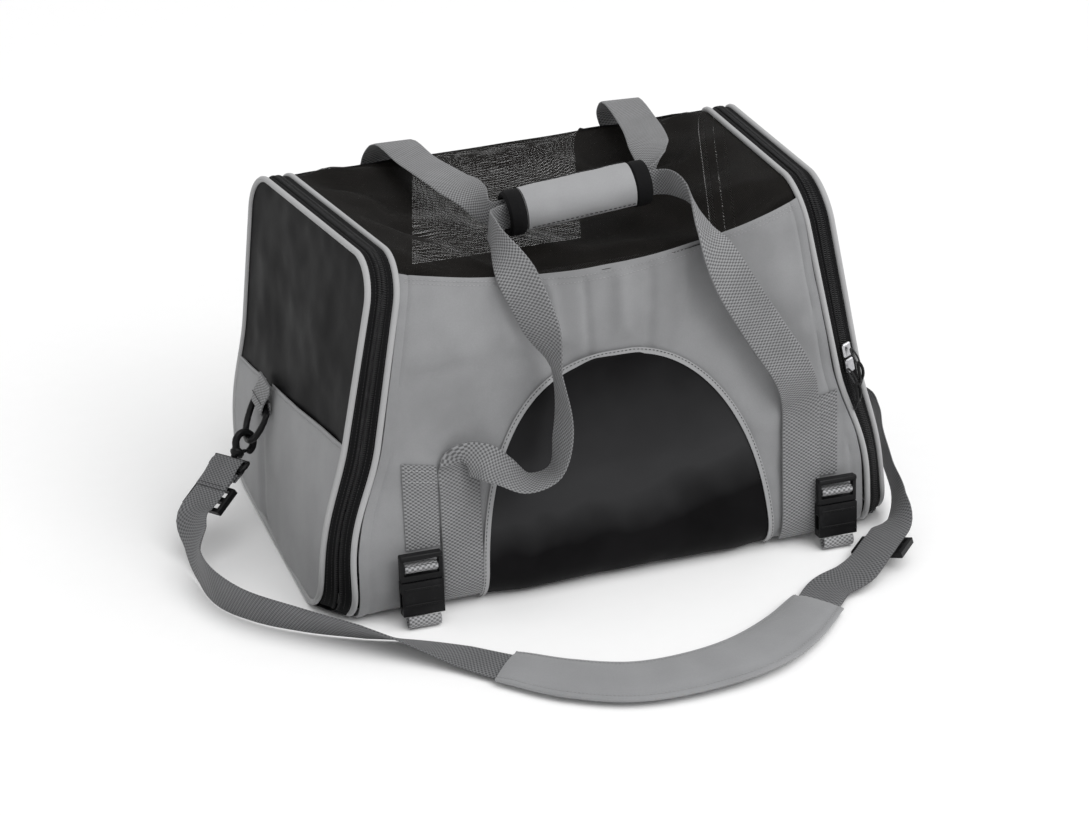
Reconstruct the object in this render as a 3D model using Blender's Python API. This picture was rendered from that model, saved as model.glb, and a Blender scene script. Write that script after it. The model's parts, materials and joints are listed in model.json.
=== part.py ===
"""Soft-sided pet carrier bag with a zipped door at each end.

Metres, +Z up. +X runs along the bag's length, the front panel faces -Y, and
the origin is the middle of the flat base on the surface that the bag stands on.
"""
import math

import bmesh
import bpy
from mathutils import Matrix, Vector

# ---------------------------------------------------------------- shell sizes
SIDES = ("left", "right")
OUTWARD = {"left": -1.0, "right": 1.0}

# Corners of the two end seams, each where the straight edges would meet:
# bottom front, top front, top rear, bottom rear.
BODY_CORNERS = {
    "left": ((-0.2215, -0.161, 0.0), (-0.167, -0.130, 0.293),
             (-0.196, 0.127, 0.283), (-0.2215, 0.138, 0.0)),
    "right": ((0.230, -0.150, 0.0), (0.166, -0.118, 0.306),
              (0.181, 0.127, 0.297), (0.230, 0.138, 0.0)),
}
DOOR_CORNERS = {
    "left": ((-0.2435, -0.134, 0.0), (-0.189, -0.130, 0.293),
             (-0.218, 0.127, 0.283), (-0.2435, 0.138, 0.0)),
    "right": ((0.252, -0.134, 0.0), (0.188, -0.118, 0.306),
              (0.203, 0.127, 0.297), (0.252, 0.138, 0.0)),
}
BOTTOM_RADIUS = 0.032
TOP_RADIUS = 0.034
BODY_BOW = 0.009          # how far each body seam bows outwards low down
DOOR_BOW = 0.005
BOW_HEIGHT = 0.15         # the bow fades out above this height

# Stations round an end loop, from the middle of the base over the front.
HALF_BASE_STEPS = 3
CORNER_STEPS = 4
SIDE_STEPS = 10
TOP_STEPS = 8
FRONT_START = HALF_BASE_STEPS + CORNER_STEPS
FRONT_END = FRONT_START + SIDE_STEPS
TOP_START = FRONT_END + CORNER_STEPS
TOP_END = TOP_START + TOP_STEPS
REAR_START = TOP_END + CORNER_STEPS
REAR_END = REAR_START + SIDE_STEPS
BASE_RETURN = REAR_END + CORNER_STEPS
LOOP_STEPS = BASE_RETURN + HALF_BASE_STEPS

PANEL = 0.0016            # thickness of a lined fabric panel
THIN = 0.0010             # thickness of mesh, coated nylon and zip tape
WEBBING = 0.0016
GAP = 0.0004
SEAM = 0.012              # share of the length that a panel stops short of its piping
PIPING_RADIUS = 0.0025
PIPING_CLEAR = 0.0035
DOOR_CLEAR = 0.0053
SKEW_ALLOWANCE = 0.65     # extra clearance where the zip band runs askew
TOP_SAG = 0.005
TOP_BLEND = 0.28
BAG_MIDDLE = Vector((0.0, 0.0, 0.14))

# ------------------------------------------------------------ webbing, buckles
LEG_WIDTH = 0.034
LEG_X = {"left": -0.1300, "right": 0.1640}
LEG_HEIGHTS = (0.014, 0.019, 0.025, 0.034, 0.056, 0.080, 0.102, 0.124)
BUCKLE_STRAP_X = {"left": (-0.1765, -0.1485), "right": (0.1700, 0.1980)}
BUCKLE_STRAP_TOP = 0.132
BUCKLE_STRAP_FOOT = 0.060
BUCKLE_X = {"left": -0.1680, "right": 0.1930}
BUCKLE_WIDTH = 0.034
BUCKLE_DEPTH = 0.0095
BUCKLE_STAND_OFF = 0.0058
BUCKLE_TOP = 0.060
SOCKET_TOP = 0.038
SOCKET_BOTTOM = 0.010
BUCKLE_TILT = 0.11

# --------------------------------------------------------------- front pocket
POCKET_X = 0.0100
POCKET_HEIGHT = 0.195
POCKET_FOOT = 0.006
POCKET_CORNER_SHARE = 1 / 3   # share of the pocket's rows that lie on the rounded foot

# ------------------------------------------------------------------- hardware
SEAM_FRONT = 0.49         # height share of the door's colour seam at the front
SEAM_REAR = 0.39
RING_Y = 0.045
RING_BAR_Z = 0.106
RING_HALF = 0.020
RING_DROP = 0.026
RING_PULL = 0.006         # the strap draws the bow of each ring towards the front
RING_TUBE = 0.0018
RING_STAND_OFF = 0.0165
SLIDER_Z = 0.157
SLIDER_LENGTH = 0.0125


def clear_scene():
    for obj in list(bpy.data.objects):
        bpy.data.objects.remove(obj, do_unlink=True)


def make_material(name, colour, roughness, metallic=0.0):
    material = bpy.data.materials.new(name)
    material.use_nodes = True
    shader = material.node_tree.nodes["Principled BSDF"]
    shader.inputs["Base Color"].default_value = (*colour, 1.0)
    shader.inputs["Roughness"].default_value = roughness
    shader.inputs["Metallic"].default_value = metallic
    return material


def make_materials():
    return {
        "grey_fabric": make_material("grey_fabric", (0.32, 0.32, 0.33), 0.85),
        "light_trim": make_material("light_trim", (0.45, 0.45, 0.45), 0.7),
        "black_nylon": make_material("black_nylon", (0.018, 0.018, 0.020), 0.35),
        "black_mesh": make_material("black_mesh", (0.02, 0.018, 0.017), 0.6),
        "webbing": make_material("webbing", (0.22, 0.22, 0.225), 0.8),
        "zip_tape": make_material("zip_tape", (0.012, 0.012, 0.013), 0.8),
        "zip_metal": make_material("zip_metal", (0.70, 0.70, 0.72), 0.25, 1.0),
        "black_plastic": make_material("black_plastic", (0.014, 0.014, 0.016), 0.4),
        "board": make_material("board", (0.05, 0.05, 0.05), 0.7),
        "fleece": make_material("fleece", (0.30, 0.30, 0.31), 0.95),
    }


# ------------------------------------------------------------- mesh builders
def add_mesh(name, verts, faces, material, pivot=None, smooth=True):
    """A closed mesh in world space; pivot moves the object's origin."""
    mesh = bpy.data.meshes.new(name)
    mesh.from_pydata([tuple(v) for v in verts], [], faces)
    work = bmesh.new()
    work.from_mesh(mesh)
    bmesh.ops.recalc_face_normals(work, faces=work.faces)
    work.to_mesh(mesh)
    work.free()
    obj = bpy.data.objects.new(name, mesh)
    bpy.context.collection.objects.link(obj)
    mesh.materials.append(material)
    if smooth:
        mesh.shade_smooth()
        mesh.set_sharp_from_angle(angle=math.radians(40))
    if pivot is not None:
        mesh.transform(Matrix.Translation(-Vector(pivot)))
        obj.location = pivot
    return obj


def grid_solid(outer_rows, inner_rows, verts, faces, keep=None):
    """Adds the closed solid between two grids of points; keep(row, column) picks cells."""
    rows = len(outer_rows) - 1
    columns = len(outer_rows[0]) - 1
    used = {}

    def index(k, r, c):
        if (k, r, c) not in used:
            used[(k, r, c)] = len(verts)
            verts.append((outer_rows, inner_rows)[k][r][c])
        return used[(k, r, c)]

    def kept(r, c):
        return 0 <= r < rows and 0 <= c < columns and (keep is None or keep(r, c))

    for r in range(rows):
        for c in range(columns):
            if not kept(r, c):
                continue
            for k in (0, 1):
                faces.append((index(k, r, c), index(k, r, c + 1),
                              index(k, r + 1, c + 1), index(k, r + 1, c)))
            edges = (((r - 1, c), (r, c), (r, c + 1)), ((r + 1, c), (r + 1, c), (r + 1, c + 1)),
                     ((r, c - 1), (r, c), (r + 1, c)), ((r, c + 1), (r, c + 1), (r + 1, c + 1)))
            for neighbour, start, end in edges:
                if not kept(*neighbour):
                    faces.append((index(0, *start), index(0, *end),
                                  index(1, *end), index(1, *start)))


def surface_normal(point_at, a, b, middle):
    step = 0.01
    a0, a1 = max(a - step, 0.0), min(a + step, 1.0)
    b0, b1 = max(b - step, 0.0), min(b + step, 1.0)
    along = point_at(a1, b) - point_at(a0, b)
    across = point_at(a, b1) - point_at(a, b0)
    normal = along.cross(across).normalized()
    if normal.dot(point_at(a, b) - middle) < 0.0:
        normal.negate()
    return normal


def sheet(name, point_at, columns, rows, outer, thickness, material,
          middle=BAG_MIDDLE, keep=None, pivot=None):
    """A sheet whose outer face stands `outer` off the surface point_at(a, b)."""
    outer_rows = []
    inner_rows = []
    for r in range(rows + 1):
        b = r / rows
        outer_row = []
        inner_row = []
        for c in range(columns + 1):
            a = c / columns
            point = point_at(a, b)
            normal = surface_normal(point_at, a, b, middle)
            outer_row.append(point + normal * outer)
            inner_row.append(point + normal * (outer - thickness))
        outer_rows.append(outer_row)
        inner_rows.append(inner_row)
    verts, faces = [], []
    grid_solid(outer_rows, inner_rows, verts, faces, keep)
    return add_mesh(name, verts, faces, material, pivot=pivot)


def spline(points, steps):
    """Smooth curve through the points, `steps` pieces to each span."""
    points = [Vector(p) for p in points]
    spans = [max((b - a).length, 1e-6) for a, b in zip(points, points[1:])]
    slopes = [(b - a) / span for a, b, span in zip(points, points[1:], spans)]
    ends = [slopes[0]]
    for i in range(1, len(points) - 1):
        before, after = spans[i - 1], spans[i]
        ends.append((slopes[i - 1] * after + slopes[i] * before) / (before + after))
    ends.append(slopes[-1])
    curve = []
    for i, span in enumerate(spans):
        for k in range(steps):
            t = k / steps
            curve.append(points[i] * (2 * t ** 3 - 3 * t ** 2 + 1)
                         + ends[i] * span * (t ** 3 - 2 * t ** 2 + t)
                         + points[i + 1] * (3 * t ** 2 - 2 * t ** 3)
                         + ends[i + 1] * span * (t ** 3 - t ** 2))
    curve.append(points[-1])
    return curve


def tangents(path, closed=False):
    count = len(path)
    result = []
    for i in range(count):
        before = path[i - 1] if (i > 0 or closed) else path[i]
        after = path[(i + 1) % count] if (i < count - 1 or closed) else path[i]
        result.append((after - before).normalized())
    return result


def ribbon(name, path, sides, widths, thickness, material, pivot=None):
    """A flat strap along path; sides are its width directions, station by station."""
    outer_rows, inner_rows = [], []
    for point, tangent, side, width in zip(path, tangents(path), sides, widths):
        across = (side - tangent * side.dot(tangent)).normalized()
        normal = tangent.cross(across)
        left = point - across * width / 2
        right = point + across * width / 2
        outer_rows.append([left + normal * thickness / 2, right + normal * thickness / 2])
        inner_rows.append([left - normal * thickness / 2, right - normal * thickness / 2])
    verts, faces = [], []
    grid_solid(outer_rows, inner_rows, verts, faces)
    return add_mesh(name, verts, faces, material, pivot=pivot)


def smooth_ribbon(name, stations, thickness, material, steps=3, pivot=None):
    """stations: (point, side direction, width)."""
    path = spline([s[0] for s in stations], steps)
    sides = spline([s[1] for s in stations], steps)
    widths = [v.x for v in spline([(s[2], 0.0, 0.0) for s in stations], steps)]
    return ribbon(name, path, sides, widths, thickness, material, pivot)


def tube(name, path, radius, sections, material, closed=False, pivot=None, up=Vector((0, 0, 1))):
    """A round bar along path, closed on itself or with flat ends."""
    verts, faces = [], []
    frames = tangents(path, closed)
    across = frames[0].orthogonal().normalized()
    if abs(frames[0].dot(up)) < 0.95:
        across = frames[0].cross(up).normalized()
    for point, tangent in zip(path, frames):
        across = (across - tangent * across.dot(tangent)).normalized()
        other = tangent.cross(across)
        for k in range(sections):
            turn = 2 * math.pi * k / sections
            verts.append(point + (across * math.cos(turn) + other * math.sin(turn)) * radius)
    count = len(path)
    for i in range(count if closed else count - 1):
        j = (i + 1) % count
        for k in range(sections):
            m = (k + 1) % sections
            faces.append((i * sections + k, i * sections + m, j * sections + m, j * sections + k))
    if not closed:
        faces.append(tuple(range(sections)))
        faces.append(tuple((count - 1) * sections + k for k in range(sections)))
    return add_mesh(name, verts, faces, material, pivot=pivot)


def box_mesh(name, centre, axes, size, material, pivot=None, bevel=0.0):
    """A box with the given axes; bevel rounds its edges."""
    verts = []
    for sx in (-0.5, 0.5):
        for sy in (-0.5, 0.5):
            for sz in (-0.5, 0.5):
                verts.append(Vector(centre) + axes[0] * size[0] * sx
                             + axes[1] * size[1] * sy + axes[2] * size[2] * sz)
    faces = [(0, 1, 3, 2), (4, 6, 7, 5), (0, 4, 5, 1), (2, 3, 7, 6), (0, 2, 6, 4), (1, 5, 7, 3)]
    obj = add_mesh(name, verts, faces, material, pivot=pivot, smooth=False)
    if bevel:
        modifier = obj.modifiers.new("bevel", "BEVEL")
        modifier.width = bevel
        modifier.segments = 1
    return obj


def boolean(obj, operation, centre, axes, size):
    """Cuts a box from obj or joins one to it; the helper box stays hidden."""
    helper = box_mesh(obj.name + "_tool", centre, axes, size, obj.data.materials[0])
    helper.hide_render = True
    helper.display_type = "WIRE"
    modifier = obj.modifiers.new(operation.lower(), "BOOLEAN")
    modifier.operation = operation
    modifier.solver = "EXACT"
    modifier.object = helper
    return obj


# ------------------------------------------------------------------ the shell
def bow_at(z):
    if z <= 0.0 or z >= BOW_HEIGHT:
        return 0.0
    return math.sin(math.pi * z / BOW_HEIGHT) ** 2


def end_loop(corners, side, bow, base_lift=0.0):
    """Closed loop of an end seam: straight edges with rounded corners."""
    bottom_front, top_front, top_rear, bottom_rear = [Vector(c) for c in corners]
    bottom_front.z += base_lift
    bottom_rear.z += base_lift
    ring = [bottom_front, top_front, top_rear, bottom_rear]
    radii = [BOTTOM_RADIUS, TOP_RADIUS, TOP_RADIUS, BOTTOM_RADIUS]
    edges = [(ring[(i + 1) % 4] - ring[i]).normalized() for i in range(4)]
    start = (bottom_front + bottom_rear) / 2
    steps = [SIDE_STEPS, TOP_STEPS, SIDE_STEPS, HALF_BASE_STEPS]
    entry = bottom_front - edges[3] * radii[0]
    points = [start.lerp(entry, k / HALF_BASE_STEPS) for k in range(HALF_BASE_STEPS)]
    for i in range(4):
        corner, radius = ring[i], radii[i]
        before, after = edges[i - 1], edges[i]
        for k in range(CORNER_STEPS):
            turn = math.pi / 2 * k / CORNER_STEPS
            points.append(corner - before * radius * (1 - math.sin(turn))
                          + after * radius * (1 - math.cos(turn)))
        leave = corner + after * radius
        target = start if i == 3 else ring[(i + 1) % 4] - after * radii[(i + 1) % 4]
        for k in range(steps[i]):
            points.append(leave.lerp(target, k / steps[i]))
    for point in points:
        point.x += OUTWARD[side] * bow * bow_at(point.z)
    return points


BODY_LOOP = {side: end_loop(BODY_CORNERS[side], side, BODY_BOW) for side in SIDES}
DOOR_LOOP = {side: end_loop(DOOR_CORNERS[side], side, DOOR_BOW) for side in SIDES}


def loop_at(loop, s):
    """Point of a loop at station s, which may lie between two stations."""
    s = s % LOOP_STEPS
    i = int(math.floor(s))
    return loop[i % LOOP_STEPS].lerp(loop[(i + 1) % LOOP_STEPS], s - i)


def shell_point(u, s):
    """Point of the body's skin, u from the left end seam to the right one."""
    return loop_at(BODY_LOOP["left"], s).lerp(loop_at(BODY_LOOP["right"], s), u)


def wall_station(x, z, rear=False):
    """(u, s) of the front or rear wall point with the given x and height."""
    u = 0.5
    low, high = (REAR_START - CORNER_STEPS, BASE_RETURN) if rear else (HALF_BASE_STEPS, TOP_START)
    s = low
    for _ in range(4):
        a, b = float(low), float(high)
        for _ in range(30):
            s = (a + b) / 2
            above = shell_point(u, s).z > z
            if above == rear:
                a = s
            else:
                b = s
        left, right = loop_at(BODY_LOOP["left"], s).x, loop_at(BODY_LOOP["right"], s).x
        u = (x - left) / (right - left)
    return u, s


def wall_point(x, z, rear=False):
    return shell_point(*wall_station(x, z, rear))


def front_hem(u):
    """Station of the front panel's top hem, which dips in the middle."""
    return TOP_START - 2.1 - 1.9 * math.sin(math.pi * u) ** 0.8


def panel_map(u0, u1, s0, s1):
    """Surface patch of the skin; s0 and s1 are stations or functions of u."""
    def point_at(a, b):
        u = u0 + (u1 - u0) * a
        low = s0(u) if callable(s0) else s0
        high = s1(u) if callable(s1) else s1
        return shell_point(u, low + (high - low) * b)
    return point_at


def top_surface(u0, u1, hem_gap, rear_end):
    """The mesh top: shaped by the piping at its ends, slack and low between them."""
    def point_at(a, b):
        u = u0 + (u1 - u0) * a
        start = front_hem(u) + hem_gap
        shaped = shell_point(u, start + (rear_end - start) * b)
        slack = shell_point(u, start).lerp(shell_point(u, rear_end), b)
        slack.z -= TOP_SAG * math.sin(math.pi * b)
        reach = min(min(u, 1.0 - u) / TOP_BLEND, 1.0)
        return shaped.lerp(slack, reach * reach * (3.0 - 2.0 * reach))
    return point_at


def build_shell(mats):
    hem_gap = 0.05
    window_low, window_high = 0.30, 0.70
    rear_top = TOP_END + 1.2
    rear_seam = REAR_START + 4.6
    base_seam = HALF_BASE_STEPS - 0.1
    side_gap = 0.0015
    inner = (SEAM, 1.0 - SEAM)
    rear_sill = rear_top + hem_gap + (rear_seam - rear_top - 2 * hem_gap) * 7 / 8

    def rear_upper(a, b):
        """Nylon surround: its columns 3 to 7 of 10 line up with the mesh window."""
        if a < 0.3:
            u = SEAM + (window_low - SEAM) * a / 0.3
        elif a < 0.7:
            u = window_low + (window_high - window_low) * (a - 0.3) / 0.4
        else:
            u = window_high + (1.0 - SEAM - window_high) * (a - 0.7) / 0.3
        return shell_point(u, rear_top + hem_gap + (rear_seam - rear_top - 2 * hem_gap) * b)

    sheet("front_panel", panel_map(*inner, base_seam + 0.02, front_hem), 12, 16,
          0.0, PANEL, mats["grey_fabric"])
    sheet("top_mesh_panel", top_surface(*inner, 0.10, rear_top - 0.10), 14, 12, 0.0, THIN,
          mats["black_mesh"])
    sheet("rear_mesh_window", panel_map(window_low + side_gap, window_high - side_gap,
                                        rear_top + hem_gap, rear_sill - hem_gap),
          4, 8, 0.0, THIN, mats["black_mesh"])
    sheet("rear_upper_panel", rear_upper, 10, 8, 0.0, PANEL, mats["black_nylon"],
          keep=lambda r, c: r == 7 or not 3 <= c < 7)
    sheet("rear_lower_panel", panel_map(*inner, rear_seam, LOOP_STEPS - base_seam - 0.02),
          8, 10, 0.0, PANEL, mats["grey_fabric"])
    sheet("bottom_panel", panel_map(*inner, -base_seam, base_seam), 4, 2,
          0.0, PANEL, mats["black_nylon"])
    x_axis, y_axis, z_axis = Vector((1, 0, 0)), Vector((0, 1, 0)), Vector((0, 0, 1))
    axes = (x_axis, y_axis, z_axis)
    box_mesh("base_board", (0.004, -0.006, 0.0037), axes, (0.404, 0.220, 0.003), mats["board"])
    box_mesh("fleece_mat", (0.004, -0.006, 0.0105), axes, (0.400, 0.220, 0.009),
             mats["fleece"], bevel=0.002)


def pocket_half_width(z, side):
    """The pocket is straight-sided low down and arched above."""
    reach, power = {"left": (0.1215, 2.6), "right": (0.1290, 2.0)}[side]
    return reach * max(1.0 - (z / POCKET_HEIGHT) ** power, 0.0) ** (1.0 / power)


def build_pocket(mats):
    def pocket(a, b):
        if b < POCKET_CORNER_SHARE:
            z = POCKET_FOOT + (BOTTOM_RADIUS - POCKET_FOOT) * (b / POCKET_CORNER_SHARE) ** 1.5
        else:
            rise = math.sin(math.pi / 2 * (b - POCKET_CORNER_SHARE) / (1 - POCKET_CORNER_SHARE))
            z = BOTTOM_RADIUS + (POCKET_HEIGHT * 0.995 - BOTTOM_RADIUS) * rise
        low = POCKET_X - pocket_half_width(z, "left")
        high = POCKET_X + pocket_half_width(z, "right")
        return wall_point(low + (high - low) * a, z)
    sheet("front_pocket_panel", pocket, 10, 15, 0.0025, THIN, mats["black_nylon"])


def band_margin(side, s):
    """Share of the zip band that a tape leaves free beside each piping."""
    near, far = loop_at(BODY_LOOP[side], s), loop_at(DOOR_LOOP[side], s)
    across = far - near
    along = (loop_at(BODY_LOOP[side], s + 0.5) - loop_at(BODY_LOOP[side], s - 0.5)).normalized()
    skew = abs(across.dot(along))
    square = (across - along * across.dot(along)).length
    return PIPING_CLEAR * (1.0 + SKEW_ALLOWANCE * skew / square) / square


def build_end_trim(side, mats):
    """Piping round the body seam and the body's half of the zip."""
    piping = end_loop(BODY_CORNERS[side], side, BODY_BOW, base_lift=0.0029)
    tube("body_piping_" + side, piping, PIPING_RADIUS, 6, mats["light_trim"], closed=True)

    def split_share(s):
        """The zip tape covers half the band, and all of it under the base."""
        near_base = min(s, LOOP_STEPS - s)
        rise = min(max((near_base - 3.4) / 0.9, 0.0), 1.0)
        return 1.0 + (0.48 - 1.0) * rise

    def body_tape(a, b):
        s = 0.02 + (LOOP_STEPS - 0.04) * b
        near, far = loop_at(BODY_LOOP[side], s), loop_at(DOOR_LOOP[side], s)
        margin = band_margin(side, s)
        end = min(split_share(s), 1.0 - margin)
        return near.lerp(far, margin + (end - margin) * a)

    sheet("zip_tape_body_" + side, body_tape, 1, LOOP_STEPS, -0.0002, THIN, mats["zip_tape"])


def door_point(side, p, q):
    """Point of a door: p from front to rear, q from bottom to top."""
    bottom_front, top_front, top_rear, bottom_rear = [Vector(c) for c in DOOR_CORNERS[side]]
    point = bottom_front.lerp(bottom_rear, p).lerp(top_front.lerp(top_rear, p), q)
    point.x += OUTWARD[side] * DOOR_BOW * bow_at(point.z)
    return point


def door_row_inset(q, height):
    """How far a row of the door stops short of its front and rear edges."""
    inset = DOOR_CLEAR
    for distance, radius in ((q * height, BOTTOM_RADIUS), ((1.0 - q) * height, TOP_RADIUS)):
        if distance < radius:
            inner = radius - DOOR_CLEAR
            inset = radius - math.sqrt(max(inner ** 2 - (radius - distance) ** 2, 0.0))
    return inset


def door_map(side, q0, q1, dense_top):
    """Door surface between two height shares, each a number or a function of p.

    The rows crowd towards the end that has the rounded corners."""
    height, width = 0.29, 0.265

    def point_at(a, b):
        low = q0(a) if callable(q0) else q0
        high = q1(a) if callable(q1) else q1
        ease = math.sin(math.pi / 2 * b) if dense_top else 1.0 - math.cos(math.pi / 2 * b)
        q = low + (high - low) * ease
        edge = door_row_inset(q, height) / width
        return door_point(side, edge + (1.0 - 2.0 * edge) * a, q)
    return point_at


def door_seam(p):
    return SEAM_FRONT + (SEAM_REAR - SEAM_FRONT) * p


def build_door(side, mats):
    """Grey lower panel, black window, piping and the door's half of the zip."""
    pivot = Vector((DOOR_CORNERS[side][0][0], 0.0, 0.003))
    low_edge, top_edge = 0.0260, 0.0185
    sheet("door_panel_" + side,
          door_map(side, low_edge, lambda p: door_seam(p) - 0.001, False), 6, 8,
          0.0, PANEL, mats["grey_fabric"], pivot=pivot)
    sheet("door_window_" + side,
          door_map(side, lambda p: door_seam(p) + 0.001, 1.0 - top_edge, True), 6, 8,
          0.0, THIN, mats["black_nylon"], pivot=pivot)
    piping = end_loop(DOOR_CORNERS[side], side, DOOR_BOW, base_lift=0.003)
    tube("door_piping_" + side, piping, PIPING_RADIUS, 6, mats["light_trim"],
         closed=True, pivot=pivot)

    def door_tape(a, b):
        s = 5.1 + (LOOP_STEPS - 10.2) * b
        near, far = loop_at(BODY_LOOP[side], s), loop_at(DOOR_LOOP[side], s)
        return near.lerp(far, 0.53 + (1.0 - band_margin(side, s) - 0.53) * a)

    sheet("zip_tape_door_" + side, door_tape, 1, LOOP_STEPS - 10, -0.0002, THIN,
          mats["zip_tape"], pivot=pivot)


# ------------------------------------------------------------ handles and grip
GRIP_LEFT = Vector((-0.063, -0.066, 0.294))
GRIP_RIGHT = Vector((0.055, -0.066, 0.306))
GRIP_OUTER = 0.0175
GRIP_INNER = 0.0135
BINDING_LENGTH = 0.013
BINDING_OUTER = 0.0185


def grip_axes():
    along = (GRIP_RIGHT - GRIP_LEFT).normalized()
    depth = Vector((0, 1, 0))
    return along, depth, along.cross(depth)


def pipe(name, profile, start, axes, sections, material, pivot):
    """A turned body; profile lists (distance along the axis, radius) round a closed section."""
    along, depth, rise = axes
    verts, faces = [], []
    for distance, radius in profile:
        for k in range(sections):
            turn = 2 * math.pi * k / sections
            verts.append(start + along * distance
                         + (depth * math.cos(turn) + rise * math.sin(turn)) * radius)
    count = len(profile)
    for i in range(count):
        j = (i + 1) % count
        for k in range(sections):
            m = (k + 1) % sections
            faces.append((i * sections + k, i * sections + m, j * sections + m, j * sections + k))
    return add_mesh(name, verts, faces, material, pivot=pivot)


def build_grip(mats):
    axes = grip_axes()
    along, depth, rise = axes
    middle = (GRIP_LEFT + GRIP_RIGHT) / 2
    length = (GRIP_RIGHT - GRIP_LEFT).length
    inner_left = GRIP_LEFT + along * (BINDING_LENGTH + 0.001)
    inner_right = GRIP_RIGHT - along * (BINDING_LENGTH + 0.001)
    profile = [(0.0, GRIP_INNER), (0.0, BINDING_OUTER), (BINDING_LENGTH, BINDING_OUTER),
               (BINDING_LENGTH, GRIP_OUTER), (length - BINDING_LENGTH, GRIP_OUTER),
               (length - BINDING_LENGTH, BINDING_OUTER), (length, BINDING_OUTER),
               (length, GRIP_INNER)]
    pipe("grip_wrap", profile, GRIP_LEFT, axes, 16, mats["grey_fabric"], middle)

    flap_start, flap_end = math.radians(66), math.radians(218)
    flap_radius = GRIP_OUTER + 0.0019
    flap_pivot = middle + depth * math.cos(flap_start) * flap_radius \
        + rise * math.sin(flap_start) * flap_radius

    def flap_surface(a, b):
        turn = flap_start + (flap_end - flap_start) * b
        centre = inner_left.lerp(inner_right, a)
        return centre + (depth * math.cos(turn) + rise * math.sin(turn)) * flap_radius

    sheet("grip_flap", flap_surface, 1, 10, 0.0, 0.0015, mats["grey_fabric"],
          middle=middle, pivot=flap_pivot)


def leg_stations(x, stand_off, rear=False):
    """Stations of the webbing sewn down one wall, from its foot upwards."""
    stations = []
    for z in LEG_HEIGHTS:
        point = wall_point(x, z, rear)
        across = wall_point(x + LEG_WIDTH / 2, z, rear) - wall_point(x - LEG_WIDTH / 2, z, rear)
        rise = wall_point(x, z + 0.003, rear) - wall_point(x, z - 0.003, rear)
        normal = rise.cross(across).normalized()
        if (normal.y > 0) != rear:
            normal.negate()
        stations.append((point + normal * stand_off, across.normalized(), LEG_WIDTH))
    return stations


def build_handles(mats):
    right = Vector((1, 0, 0))
    wide, narrow = LEG_WIDTH, 0.021
    under, over = 0.0024, 0.0044
    front = leg_stations(LEG_X["left"], under)
    front += [
        ((-0.1290, -0.1530, 0.1350), (0.93, -0.3, -0.15), wide),
        ((-0.1200, -0.1690, 0.1290), (0.80, -0.2, 0.4), wide),
        ((-0.1020, -0.1800, 0.1130), (0.60, 0.0, 0.75), wide),
        ((-0.0780, -0.1840, 0.1080), (0.20, 0.15, 0.95), wide),
        ((-0.0590, -0.1810, 0.1250), (-0.40, 0.35, 0.80), wide),
        ((-0.0520, -0.1730, 0.1550), (-0.75, 0.55, 0.3), wide),
        ((-0.0540, -0.1610, 0.1920), (-0.82, 0.5, 0.0), wide),
        ((-0.0660, -0.1530, 0.2350), (-0.80, 0.4, -0.2), wide),
        ((-0.0800, -0.1430, 0.2740), (-0.70, 0.3, -0.3), wide),
        ((-0.0880, -0.1140, 0.2990), (-0.30, 0.3, -0.8), 0.026),
        (GRIP_LEFT + Vector((-0.009, -0.006, -0.001)), (0.0, 0.0, -1.0), narrow),
        (GRIP_LEFT + Vector((0.006, -0.005, 0.001)), (0.0, 0.0, -1.0), narrow),
        (GRIP_RIGHT + Vector((-0.006, -0.005, -0.001)), (0.0, 0.0, -1.0), narrow),
        (GRIP_RIGHT + Vector((0.008, -0.006, 0.001)), (0.0, 0.0, -1.0), narrow),
        ((0.0740, -0.1010, 0.3100), (0.3, 0.2, -0.9), 0.025),
        ((0.0800, -0.1360, 0.2860), (0.65, 0.2, -0.5), wide),
        ((0.1000, -0.1500, 0.2430), (0.75, 0.1, 0.3), wide),
        ((0.1260, -0.1520, 0.2000), (0.82, 0.0, 0.5), wide),
        ((0.1510, -0.1540, 0.1600), (0.9, 0.0, 0.4), wide),
    ]
    front += reversed(leg_stations(LEG_X["right"], over))
    smooth_ribbon("front_handle", front, WEBBING, mats["webbing"], steps=2)
    rear = leg_stations(LEG_X["left"], under, rear=True)
    rear += [
        ((-0.1200, 0.1475, 0.1900), right, wide),
        ((-0.1060, 0.1455, 0.2550), right, wide),
        ((-0.0970, 0.1370, 0.2950), right, wide),
        ((-0.0920, 0.1100, 0.3150), right, wide),
        ((-0.0860, 0.0500, 0.3250), right, wide),
        ((-0.0820, -0.0050, 0.3180), right, wide),
        ((-0.0810, -0.0400, 0.3040), (0.75, -0.2, 0.5), 0.026),
        (GRIP_LEFT + Vector((-0.009, 0.006, -0.001)), (0.0, 0.0, 1.0), narrow),
        (GRIP_LEFT + Vector((0.006, 0.005, 0.001)), (0.0, 0.0, 1.0), narrow),
        (GRIP_RIGHT + Vector((-0.006, 0.005, -0.001)), (0.0, 0.0, 1.0), narrow),
        (GRIP_RIGHT + Vector((0.008, 0.006, 0.001)), (0.0, 0.0, 1.0), narrow),
        ((0.0720, -0.0380, 0.3160), (0.8, 0.2, 0.5), 0.026),
        ((0.0790, -0.0050, 0.3280), right, wide),
        ((0.0910, 0.0500, 0.3330), right, wide),
        ((0.1030, 0.1100, 0.3270), right, wide),
        ((0.1120, 0.1420, 0.3050), right, wide),
        ((0.1260, 0.1480, 0.2550), right, wide),
        ((0.1460, 0.1500, 0.1900), right, wide),
    ]
    rear += reversed(leg_stations(LEG_X["right"], under, rear=True))
    smooth_ribbon("rear_handle", rear, WEBBING, mats["webbing"], steps=2)


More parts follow.
